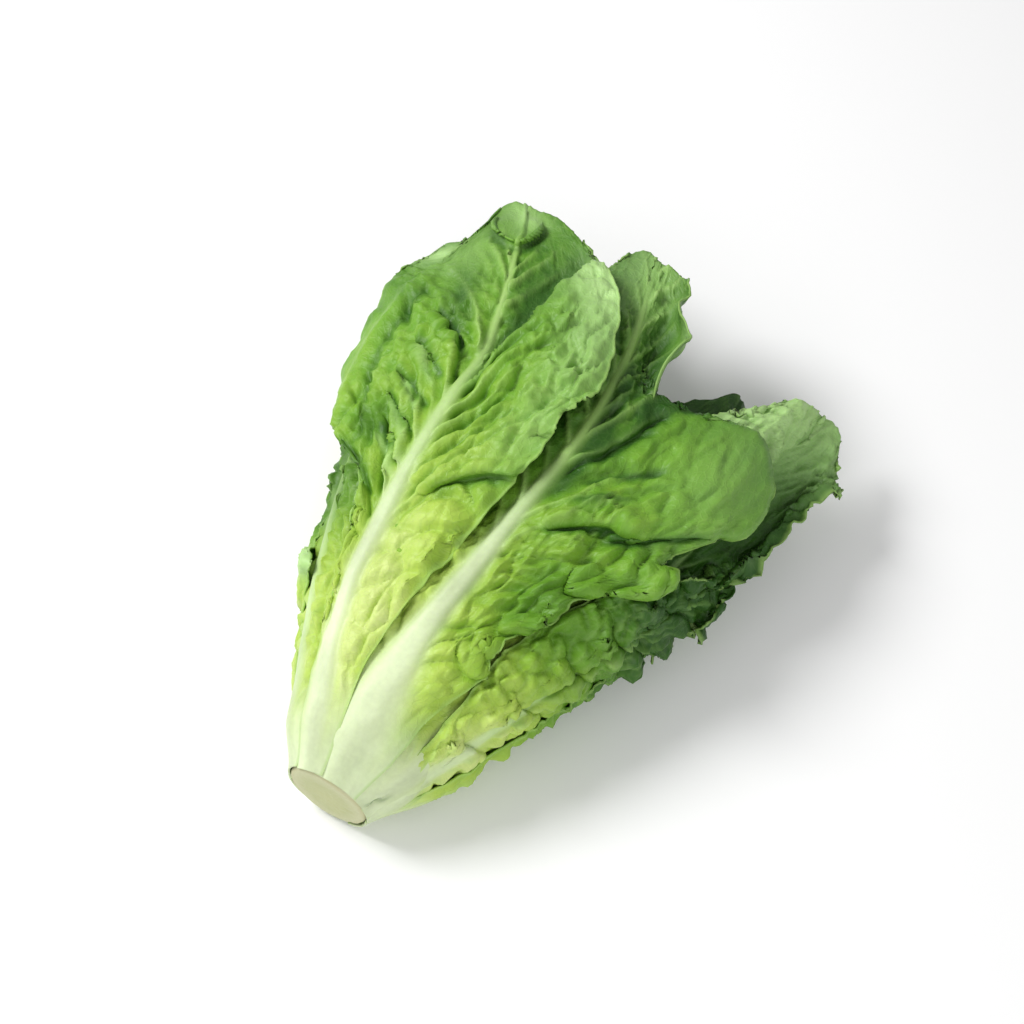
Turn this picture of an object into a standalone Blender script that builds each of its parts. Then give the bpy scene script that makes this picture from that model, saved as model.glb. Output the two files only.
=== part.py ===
"""Romaine lettuce head, lying on its side: a short cut stem and the leaves that wrap it.

The head lies along +Y. The cut face of the stem looks along -Y and the leaf tips point along +Y.
Lengths are metres. Each leaf is laid out around the axis of the head by a bearing in degrees,
where 0 is +X and 90 is straight up, and by a level, which is its share of the head's own radius.
Where two leaves share a bearing, the one with the lower level lies inside, so they never cross.
"""
import math

import bmesh
import bpy
from mathutils import Matrix, Vector

# Half width, half height and centre of the head at distances along it.
STATION_Y = (-0.02, 0.0, 0.016, 0.050, 0.080, 0.125, 0.160, 0.190, 0.225, 0.255, 0.300)
HALF_WIDTH = (0.012, 0.0200, 0.0330, 0.053, 0.068, 0.086, 0.098, 0.104, 0.104, 0.099, 0.084)
HALF_HEIGHT = (0.012, 0.0200, 0.0285, 0.036, 0.040, 0.0435, 0.045, 0.045, 0.043, 0.039, 0.032)
CENTRE_Z = (0.0190, 0.0220, 0.0298, 0.0349, 0.0382, 0.0415, 0.0429, 0.0429, 0.0410, 0.0403, 0.0410)
CENTRE_X = (-0.003, -0.002, -0.001, 0, 0, 0, 0, 0, 0, 0, 0)
FLATTENED = 0.93  # the underside is pressed flat at this share of the half height
ROUND_UNTIL, FLAT_FROM = 0.020, 0.060  # the section is round near the cut and flattened further on

STEM_START = -0.002
STEM_LENGTH = 0.044
STEM_RADIUS = 0.0184
STEM_STRAIGHT = 0.012  # length over which the stem keeps its full radius
STEM_SIDES = 32
LEAF_GAP = 0.0004

BLADE = 0.0013  # thickness of the blade away from its midrib
ORIGIN = (0.0037, 0.135, 0.0)  # the middle of the head's box, where the part's origin is put
SETTLED = 0.0012  # skin lower than this above the ground is pressed flat onto it


def smooth_between(stations, values, at):
    """Value at a distance, by a smooth curve through the stations."""
    last = len(stations) - 1
    at = min(max(at, stations[0]), stations[last])
    i = max(k for k in range(last) if stations[k] <= at)
    before = values[max(i - 1, 0)]
    after = values[min(i + 2, last)]
    span = stations[i + 1] - stations[i]
    t = (at - stations[i]) / span
    lead = span / (stations[i + 1] - stations[max(i - 1, 0)])
    tail = span / (stations[min(i + 2, last)] - stations[i])
    slope_a = 0.9 * (values[i + 1] - before) * lead
    slope_b = 0.9 * (after - values[i]) * tail
    return (
        (2 * t**3 - 3 * t**2 + 1) * values[i]
        + (t**3 - 2 * t**2 + t) * slope_a
        + (3 * t**2 - 2 * t**3) * values[i + 1]
        + (t**3 - t**2) * slope_b
    )


def ease(start, end, at):
    """0 before start, 1 after end, and a smooth step between."""
    t = min(max((at - start) / (end - start), 0.0), 1.0)
    return t * t * (3 - 2 * t)


def centre(y):
    """X and Z of the head's axis at this distance."""
    return smooth_between(STATION_Y, CENTRE_X, y), smooth_between(STATION_Y, CENTRE_Z, y)


def section(bearing, y):
    """Offset in X and Z from the head's axis to its outside, at this bearing and distance."""
    turn = math.radians(bearing)
    wide = smooth_between(STATION_Y, HALF_WIDTH, y)
    high = smooth_between(STATION_Y, HALF_HEIGHT, y)
    lowest = 1 - (1 - FLATTENED) * ease(ROUND_UNTIL, FLAT_FROM, y)
    return wide * math.cos(turn), high * max(math.sin(turn), -lowest)


def stem_radius(y):
    """The stem keeps its radius near the cut, then narrows to a rounded tip inside the head."""
    if y <= STEM_STRAIGHT:
        return STEM_RADIUS
    t = (y - STEM_STRAIGHT) / (STEM_LENGTH - STEM_STRAIGHT)
    return STEM_RADIUS * math.sqrt(max(1 - t**1.6, 0.0))


def attachment(level, inward):
    """Distance from the cut face at which a leaf of this level meets the stem."""
    low, high = -0.004, STEM_LENGTH
    for _ in range(40):
        middle = (low + high) / 2
        radius = level * smooth_between(STATION_Y, HALF_HEIGHT, middle) - inward - LEAF_GAP
        if radius < stem_radius(middle):
            low = middle
        else:
            high = middle
    return high


def material(name, colour, roughness):
    """A plain Principled material."""
    made = bpy.data.materials.new(name)
    made.use_nodes = True
    shader = made.node_tree.nodes["Principled BSDF"]
    shader.inputs["Base Color"].default_value = (*colour, 1.0)
    shader.inputs["Roughness"].default_value = roughness
    made.diffuse_color = (*colour, 1.0)
    return made


def finish(mesh_builder, name, colour, roughness=0.45):
    """Turns a bmesh into a named, smooth shaded object with its own material."""
    bmesh.ops.recalc_face_normals(mesh_builder, faces=mesh_builder.faces)
    for face in mesh_builder.faces:
        face.smooth = True
    mesh = bpy.data.meshes.new(name)
    mesh_builder.to_mesh(mesh)
    mesh_builder.free()
    mesh.transform(Matrix.Translation(-Vector(ORIGIN)))
    made = bpy.data.objects.new(name, mesh)
    made.data.materials.append(material(name, colour, roughness))
    bpy.context.scene.collection.objects.link(made)
    return made


def along_leaf(line, u):
    """Bearing, distance and level on one of a leaf's three guide lines, u from base to tip."""
    stations = [n / (len(line) - 1) for n in range(len(line))]
    return [smooth_between(stations, values, u) for values in zip(*line)]


def skin(leaf, u, v, outer):
    """A point on the outer or inner skin of a leaf, u from base to tip and v from -1 to 1 across."""
    middle = along_leaf(leaf["middle"], u)
    margin = along_leaf(leaf["right"] if v > 0 else leaf["left"], u)
    across = abs(v)
    bearing = middle[0] + (margin[0] - middle[0]) * across
    y = middle[1] + (margin[1] - middle[1]) * across**1.4
    level = middle[2] + (margin[2] - middle[2]) * across**2
    x, z = section(bearing, y)
    radius = math.hypot(x, z)
    from_rib = (bearing - middle[0]) / leaf["rib_degrees"]
    keel = leaf["keel"] * (1 - u) ** 1.5 * math.exp(-from_rib * from_rib)
    half = BLADE / 2 * (1 - 0.35 * across)
    level += (half + keel if outer else -half) / radius
    centre_x, centre_z = centre(y)
    z = centre_z + level * z
    if outer and z < SETTLED:
        z = 0.0
    return centre_x + level * x, y, z


def make_leaf(leaf):
    """One closed leaf: an outer and an inner skin of the same grid, bridged round the margin."""
    along, across = leaf["grid"]
    build = bmesh.new()
    bmesh.ops.create_grid(build, x_segments=across, y_segments=along, size=1.0)
    bmesh.ops.triangulate(build, faces=build.faces, quad_method="FIXED")
    outside = list(build.verts)
    copied = bmesh.ops.duplicate(build, geom=build.verts[:] + build.edges[:] + build.faces[:])
    inside = [item for item in copied["geom"] if isinstance(item, bmesh.types.BMVert)]
    margin = [edge for edge in build.edges if edge.is_boundary]
    for verts, outer in ((outside, True), (inside, False)):
        for vert in verts:
            vert.co = skin(leaf, (vert.co.y + 1) / 2, vert.co.x, outer)
    bmesh.ops.bridge_loops(build, edges=margin)
    return finish(build, leaf["name"], leaf["colour"])


def make_stem():
    """The cut stem: a disc at the front, narrowing to a rounded tip that carries the leaves."""
    build = bmesh.new()
    stops = (STEM_START, 0.004, 0.012, 0.018, 0.024, 0.030, 0.035, 0.039, 0.042)
    profile = [(0.0, STEM_START)] + [(stem_radius(y), y) for y in stops] + [(0.0, STEM_LENGTH)]
    verts = [build.verts.new((radius, y, 0.0)) for radius, y in profile]
    edges = [build.edges.new(pair) for pair in zip(verts, verts[1:])]
    bmesh.ops.spin(
        build, geom=verts + edges, cent=(0, 0, 0), axis=(0, 1, 0), angle=2 * math.pi, steps=STEM_SIDES
    )
    bmesh.ops.remove_doubles(build, verts=build.verts, dist=1e-5)
    for vert in build.verts:
        centre_x, centre_z = centre(vert.co.y)
        vert.co += Vector((centre_x, 0.0, centre_z))
    return finish(build, "stem_core", (0.72, 0.74, 0.50), 0.55)


GREEN = (0.20, 0.42, 0.08)
LIME = (0.42, 0.58, 0.14)
PALE = (0.70, 0.76, 0.36)


def leaf(name, middle, left, right, **more):
    """A leaf's description: three guide lines of (bearing, distance, level) from base to tip."""
    base = attachment(middle[0][2], BLADE / 2)
    lines = []
    for line in (middle, left, right):
        lines.append(((line[0][0], base, middle[0][2]),) + tuple(line[1:]))
    made = {
        "name": name,
        "middle": lines[0],
        "left": lines[1],
        "right": lines[2],
        "keel": 0.0015,
        "rib_degrees": 12,
        "grid": (16, 10),
        "colour": GREEN,
    }
    made.update(more)
    return made


OUTER_LEAVES = (
    leaf(
        "outer_leaf_top_left",
        ((113, 0, 1.00), (121, 0.034, 1.00), (121, 0.066, 1.00), (118, 0.098, 1.00), (116, 0.130, 1.00),
         (114, 0.164, 1.00), (114, 0.198, 1.00), (120, 0.232, 1.02), (131, 0.264, 1.06)),
        ((129, 0, 1.00), (135, 0.038, 1.00), (141, 0.074, 1.00), (146, 0.102, 1.00), (156, 0.134, 1.02),
         (164, 0.168, 1.01), (159, 0.198, 1.01), (151, 0.228, 1.02), (142, 0.250, 1.04)),
        ((99, 0, 1.00), (99, 0.036, 1.03), (94, 0.070, 1.05), (89, 0.104, 1.06), (87, 0.140, 1.09),
         (84, 0.172, 1.13), (82, 0.202, 1.15), (91, 0.242, 1.12), (117, 0.268, 1.08)),
        keel=0.0035,
    ),
    leaf(
        "outer_leaf_top_centre",
        ((76, 0, 0.93), (84, 0.028, 0.93), (85, 0.054, 0.93), (83, 0.080, 0.93), (81, 0.108, 0.93),
         (80, 0.136, 0.93), (79, 0.164, 0.93), (79.5, 0.192, 0.93), (82, 0.226, 0.92), (86, 0.250, 0.92),
         (91, 0.272, 0.93)),
        ((96, 0, 0.93), (107, 0.028, 0.91), (114, 0.056, 0.90), (118, 0.084, 0.91), (120, 0.112, 0.91),
         (122, 0.140, 0.91), (122, 0.168, 0.91), (120, 0.196, 0.91), (113, 0.224, 0.91), (104, 0.250, 0.91),
         (97, 0.268, 0.93)),
        ((50, 0, 0.93), (47, 0.032, 0.94), (45, 0.062, 0.95), (40, 0.096, 0.96), (32, 0.130, 0.98),
         (28, 0.164, 0.98), (25, 0.198, 0.98), (42, 0.229, 0.96), (67, 0.219, 0.94), (71, 0.246, 0.98),
         (81, 0.267, 0.99)),
        keel=0.0032, rib_degrees=9, grid=(20, 10),
    ),
    leaf(
        "outer_leaf_right",
        ((24, 0, 0.80), (22, 0.034, 0.80), (20, 0.066, 0.80), (18, 0.100, 0.80), (16, 0.134, 0.81),
         (14, 0.168, 0.82), (12, 0.202, 0.84), (11, 0.234, 0.87), (10, 0.262, 0.89)),
        ((50, 0, 0.80), (62, 0.034, 0.80), (66, 0.066, 0.80), (68, 0.100, 0.80), (68, 0.134, 0.80),
         (66, 0.168, 0.80), (58, 0.202, 0.81), (44, 0.232, 0.83), (28, 0.254, 0.86)),
        ((8, 0, 0.80), (-14, 0.036, 0.80), (-24, 0.072, 0.80), (-24, 0.108, 0.80), (-18, 0.142, 0.83),
         (-12, 0.182, 0.98), (-8, 0.214, 1.03), (-5, 0.242, 1.03), (2, 0.258, 0.97)),
        keel=0.0006,
    ),
    leaf(
        "outer_leaf_lower_right",
        ((-4, 0, 0.86), (8, 0.022, 0.87), (13, 0.043, 0.87), (15, 0.065, 0.87), (13, 0.087, 0.87),
         (10, 0.108, 0.87), (6, 0.128, 0.88), (2, 0.148, 0.90), (-2, 0.166, 0.92)),
        ((14, 0, 0.86), (34, 0.024, 0.86), (44, 0.047, 0.87), (46, 0.071, 0.87), (44, 0.095, 0.87),
         (38, 0.117, 0.87), (29, 0.138, 0.88), (17, 0.154, 0.90), (6, 0.162, 0.92)),
        ((-26, 0, 0.86), (-34, 0.023, 0.86), (-37, 0.045, 0.86), (-34, 0.068, 0.86), (-30, 0.090, 0.87),
         (-24, 0.110, 0.90), (-19, 0.129, 0.93), (-14, 0.146, 0.94), (-8, 0.158, 0.94)),
        keel=0.0008,
    ),
    leaf(
        "outer_leaf_under_right",
        ((-42, 0, 0.94), (-37, 0.020, 1.13), (-35, 0.044, 1.13), (-34, 0.068, 1.08), (-33, 0.090, 1.03),
         (-32, 0.113, 0.99), (-30, 0.136, 0.97), (-28, 0.160, 0.96), (-27, 0.182, 0.97)),
        ((-20, 0, 0.94), (-10, 0.023, 1.02), (-13, 0.047, 1.04), (-16, 0.070, 1.03), (-16, 0.092, 1.01),
         (-16, 0.115, 1.00), (-17, 0.137, 0.99), (-20, 0.158, 0.98), (-23, 0.174, 0.97)),
        ((-58, 0, 0.94), (-60, 0.022, 0.96), (-62, 0.046, 0.96), (-65, 0.070, 0.95), (-70, 0.094, 0.93),
         (-74, 0.118, 0.93), (-69, 0.142, 0.95), (-57, 0.164, 0.96), (-40, 0.178, 0.97)),
        keel=0.0012,
    ),
    leaf(
        "outer_leaf_under",
        ((266, 0, 1.00), (267, 0.028, 1.00), (268, 0.056, 1.00), (269, 0.084, 1.00), (270, 0.112, 1.00),
         (270, 0.140, 1.00), (270, 0.170, 1.00), (270, 0.200, 1.00), (270, 0.230, 1.00)),
        ((286, 0, 1.00), (292, 0.030, 1.00), (294, 0.060, 1.00), (298, 0.090, 1.00), (305, 0.118, 1.00),
         (311, 0.146, 1.00), (312, 0.174, 1.00), (306, 0.200, 1.00), (292, 0.222, 1.00)),
        ((238, 0, 1.00), (231, 0.030, 1.00), (227, 0.060, 1.00), (225, 0.090, 1.00), (224, 0.118, 1.00),
         (222, 0.146, 1.00), (224, 0.174, 1.00), (232, 0.200, 1.00), (248, 0.222, 1.00)),
        keel=0.0012,
    ),
    leaf(
        "outer_leaf_under_left",
        ((212, 0, 0.94), (209, 0.028, 0.94), (206, 0.056, 0.94), (204, 0.084, 0.94), (202, 0.112, 0.94),
         (200, 0.140, 0.94), (198, 0.168, 0.94), (196, 0.196, 0.94), (194, 0.222, 0.94)),
        ((238, 0, 0.94), (246, 0.030, 0.94), (250, 0.060, 0.94), (252, 0.090, 0.94), (252, 0.118, 0.94),
         (250, 0.146, 0.94), (244, 0.172, 0.94), (232, 0.196, 0.94), (214, 0.214, 0.94)),
        ((190, 0, 0.94), (180, 0.030, 0.95), (176, 0.060, 0.96), (174, 0.090, 0.96), (174, 0.118, 0.96),
         (174, 0.146, 0.95), (176, 0.172, 0.94), (180, 0.194, 0.94), (186, 0.212, 0.94)),
        keel=0.0012,
    ),
    leaf(
        "outer_leaf_left",
        ((165, 0, 0.87), (164, 0.030, 0.87), (163, 0.060, 0.87), (162, 0.090, 0.87), (161, 0.122, 0.87),
         (160, 0.154, 0.87), (158, 0.186, 0.87), (156, 0.216, 0.87), (154, 0.246, 0.88)),
        ((184, 0, 0.87), (198, 0.032, 0.87), (203, 0.064, 0.87), (205, 0.096, 0.87), (205, 0.128, 0.87),
         (203, 0.160, 0.87), (197, 0.190, 0.87), (187, 0.216, 0.87), (172, 0.238, 0.88)),
        ((144, 0, 0.87), (132, 0.032, 0.87), (126, 0.064, 0.87), (122, 0.096, 0.87), (120, 0.128, 0.87),
         (121, 0.160, 0.87), (124, 0.190, 0.87), (130, 0.218, 0.87), (140, 0.240, 0.88)),
        keel=0.0010,
    ),
)

# Bearing and length of the leaves inside the outer ones, from the outside inwards.
MIDDLE_LEAVES = (
    (150, 0.252), (287, 0.246), (24, 0.226), (202, 0.240), (340, 0.234), (115, 0.232),
    (255, 0.218), (32, 0.208), (170, 0.200),
)
HEART_LEAVES = (
    (308, 0.182), (85, 0.176), (223, 0.164), (0, 0.152), (138, 0.140), (275, 0.127),
    (53, 0.114), (190, 0.102),
)
INNER_U = (0.0, 0.2, 0.4, 0.6, 0.8, 1.0)
INNER_SPREAD = (0.62, 0.84, 0.98, 1.0, 0.88, 0.50)
INNER_SWEEP = (0.0, 0.015, 0.03, 0.035, 0.01, -0.055)
OUTERMOST, INNERMOST = 0.73, 0.13  # levels of the first and the last of them


def inner_leaf(name, place, bearing, length, **more):
    """A leaf wrapped inside the outer ones. Its place runs from 0, outermost, to 1, innermost."""
    half = 58 + 16 * place
    level = OUTERMOST + (INNERMOST - OUTERMOST) * place
    base = attachment(level, BLADE / 2)
    lines = []
    for side in (0, 1, -1):
        line = []
        for u, spread, sweep in zip(INNER_U, INNER_SPREAD, INNER_SWEEP):
            y = base + length * (u + sweep * abs(side))
            line.append((bearing + side * half * spread, y, level))
        lines.append(tuple(line))
    return leaf(name, *lines, keel=0.0006, **more)


def inner_leaves():
    """All leaves inside the outer ones: green ones in the middle, pale ones in the heart."""
    count = len(MIDDLE_LEAVES) + len(HEART_LEAVES)
    made = []
    for n, (bearing, length) in enumerate(MIDDLE_LEAVES):
        place = n / (count - 1)
        made.append(inner_leaf(f"middle_leaf_{n + 1}", place, bearing, length, grid=(9, 8), colour=LIME))
    for n, (bearing, length) in enumerate(HEART_LEAVES):
        place = (n + len(MIDDLE_LEAVES)) / (count - 1)
        made.append(inner_leaf(f"heart_leaf_{n + 1}", place, bearing, length, grid=(7, 7), colour=PALE))
    return made


def clear_scene():
    for old in list(bpy.data.objects):
        bpy.data.objects.remove(old, do_unlink=True)


def main():
    clear_scene()
    make_stem()
    for each in OUTER_LEAVES:
        make_leaf(each)
    for each in inner_leaves():
        make_leaf(each)


main()
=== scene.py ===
# %% [markdown]
# # A romaine lettuce head, made leaf by leaf
#
# A romaine head is a short thick stem with long leaves wrapped round it. Each leaf has a white rib that
# is broad at the stem and thin at the tip, side veins that lean forward, and a blade that puffs up
# between them. This lesson makes every leaf from one flat grid: the grid is laid on the smooth shape
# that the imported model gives, and then the rib, veins, puffs, folds and frills are raised on it.

# %% Load the fixed frame
import math

import bmesh
import bpy
import numpy as np
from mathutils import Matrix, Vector


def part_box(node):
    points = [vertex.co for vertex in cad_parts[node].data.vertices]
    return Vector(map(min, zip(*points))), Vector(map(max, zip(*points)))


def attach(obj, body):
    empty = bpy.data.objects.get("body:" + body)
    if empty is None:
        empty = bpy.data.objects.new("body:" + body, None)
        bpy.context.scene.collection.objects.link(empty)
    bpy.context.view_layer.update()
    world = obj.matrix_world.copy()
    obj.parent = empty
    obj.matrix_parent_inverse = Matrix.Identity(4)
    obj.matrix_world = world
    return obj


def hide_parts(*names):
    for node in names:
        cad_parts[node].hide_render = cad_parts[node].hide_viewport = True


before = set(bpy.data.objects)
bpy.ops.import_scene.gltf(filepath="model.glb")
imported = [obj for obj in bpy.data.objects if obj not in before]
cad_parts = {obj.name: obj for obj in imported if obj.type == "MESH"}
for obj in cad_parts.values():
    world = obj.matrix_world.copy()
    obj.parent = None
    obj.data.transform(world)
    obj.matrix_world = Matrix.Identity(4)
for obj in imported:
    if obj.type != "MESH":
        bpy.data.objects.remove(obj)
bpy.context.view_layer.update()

# %% [markdown]
# ## Curves and chance
#
# Plants repeat a rule but never exactly, so the relief is built from smooth curves and from random
# patterns. A game of chance has to come out the same on each run, so the random numbers are worked
# out from the place itself. Numpy does a whole leaf at once, which keeps forty thousand points quick.


# %% Smooth curves
def curve(stations, values, at):
    """A smooth curve through the stations, read at every number in at."""
    stations, values = np.array(stations, float), np.array(values, float)
    last = len(stations) - 1
    at = np.clip(at, stations[0], stations[last])
    i = np.clip(np.searchsorted(stations, at, side="right") - 1, 0, last - 1)
    before, after = np.maximum(i - 1, 0), np.minimum(i + 2, last)
    span = stations[i + 1] - stations[i]
    t = (at - stations[i]) / span
    leaving = 0.9 * (values[i + 1] - values[before]) * span / (stations[i + 1] - stations[before])
    arriving = 0.9 * (values[after] - values[i]) * span / (stations[after] - stations[i])
    return (
        (2 * t**3 - 3 * t**2 + 1) * values[i]
        + (t**3 - 2 * t**2 + t) * leaving
        + (3 * t**2 - 2 * t**3) * values[i + 1]
        + (t**3 - t**2) * arriving
    )


def ease(start, end, at):
    """0 before start, 1 after end, and a smooth step between."""
    t = np.clip((at - start) / (end - start), 0.0, 1.0)
    return t * t * (3 - 2 * t)


print("halfway up a smooth step:", ease(0, 1, 0.5))


# %% Random patterns
FAR_OFF = 9.0  # more than any distance that is looked for here


def scatter(i, j, salt):
    """A number from 0 to 1 for each whole-numbered place, always the same for the same place."""
    n = np.sin(i * 127.1 + j * 311.7 + salt * 53.3) * 43758.5453
    return n - np.floor(n)


def swell(x, y, salt=0):
    """Soft random hills between -1 and 1, about one unit across."""
    i, j = np.floor(x), np.floor(y)
    right, up = ease(0, 1, x - i), ease(0, 1, y - j)
    low = scatter(i, j, salt) * (1 - right) + scatter(i + 1, j, salt) * right
    high = scatter(i, j + 1, salt) * (1 - right) + scatter(i + 1, j + 1, salt) * right
    return 2 * (low * (1 - up) + high * up) - 1


def cells(x, y, salt=0, stray=0.8):
    """Random cells about one unit across. Gives how far each place is from its cell's edge, 0 on the
    edge and rising inside, and how far it is from its cell's middle in x and in y."""
    i, j = np.floor(x), np.floor(y)
    near = np.full(np.broadcast(x, y).shape, FAR_OFF)
    second, off_x, off_y = near.copy(), near * 0, near * 0
    for a in (-1, 0, 1):
        for b in (-1, 0, 1):
            dx = x - (i + a + 0.5 + stray * (scatter(i + a, j + b, salt) - 0.5))
            dy = y - (j + b + 0.5 + stray * (scatter(i + a, j + b, salt + 7) - 0.5))
            far = np.hypot(dx, dy)
            second = np.minimum(second, np.maximum(near, far))
            closest = far < near
            near = np.where(closest, far, near)
            off_x, off_y = np.where(closest, dx, off_x), np.where(closest, dy, off_y)
    return second - near, off_x, off_y


def dome(inside, rim):
    """Round pillows from cells: 0 at the edge, steep there, and flat on top."""
    return 1 - (1 - np.clip(inside / rim, 0, 1)) ** 2


print("one soft hill:", round(float(swell(np.array(0.3), np.array(0.7))), 3))

# %% [markdown]
# ## The smooth shape of the head
#
# The head is laid out like a bent, flattened tube: a width, a height and a centre line along its
# length. A place on a leaf is a bearing round that tube, a distance along it, and a level, its share
# of the tube's radius. Leaves at different levels lie inside one another and don't cross.

# %% The tube and the leaves' guide lines
STATIONS = (-0.02, 0.0, 0.016, 0.050, 0.080, 0.125, 0.160, 0.190, 0.225, 0.255, 0.300)
HALF_WIDTH = (0.012, 0.0200, 0.0330, 0.053, 0.068, 0.086, 0.098, 0.104, 0.104, 0.099, 0.084)
HALF_HEIGHT = (0.012, 0.0200, 0.0285, 0.036, 0.040, 0.0435, 0.045, 0.045, 0.043, 0.039, 0.032)
CENTRE_Z = (0.0190, 0.0220, 0.0298, 0.0349, 0.0382, 0.0415, 0.0429, 0.0429, 0.0410, 0.0403, 0.0410)
CENTRE_X = (-0.003, -0.002, -0.001, 0, 0, 0, 0, 0, 0, 0, 0)
PRESSED = 0.93  # the underside is pressed flat at this share of the half height
ORIGIN = np.array((0.0037, 0.135, 0.0))  # the frame's origin, seen from the cut end of the head


def guide(*stations):
    """A guide line from the base to the tip, as three rows: bearings, distances and levels."""
    return np.array(stations, float).T


def place_on_head(bearing, y, level, lift):
    """Points on the head at these bearings, distances and levels, lifted outwards by lift metres."""
    turn = np.radians(bearing)
    lowest = 1 - (1 - PRESSED) * ease(0.020, 0.060, y)
    x = curve(STATIONS, HALF_WIDTH, y) * np.cos(turn)
    z = curve(STATIONS, HALF_HEIGHT, y) * np.maximum(np.sin(turn), -lowest)
    level = level + lift / np.hypot(x, z)
    x = curve(STATIONS, CENTRE_X, y) + level * x
    z = curve(STATIONS, CENTRE_Z, y) + level * z
    return np.stack([x, y, z], axis=-1) - ORIGIN


print("the top of the head halfway:", place_on_head(np.array(90.0), np.array(0.135), 1.0, 0.0))

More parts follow.
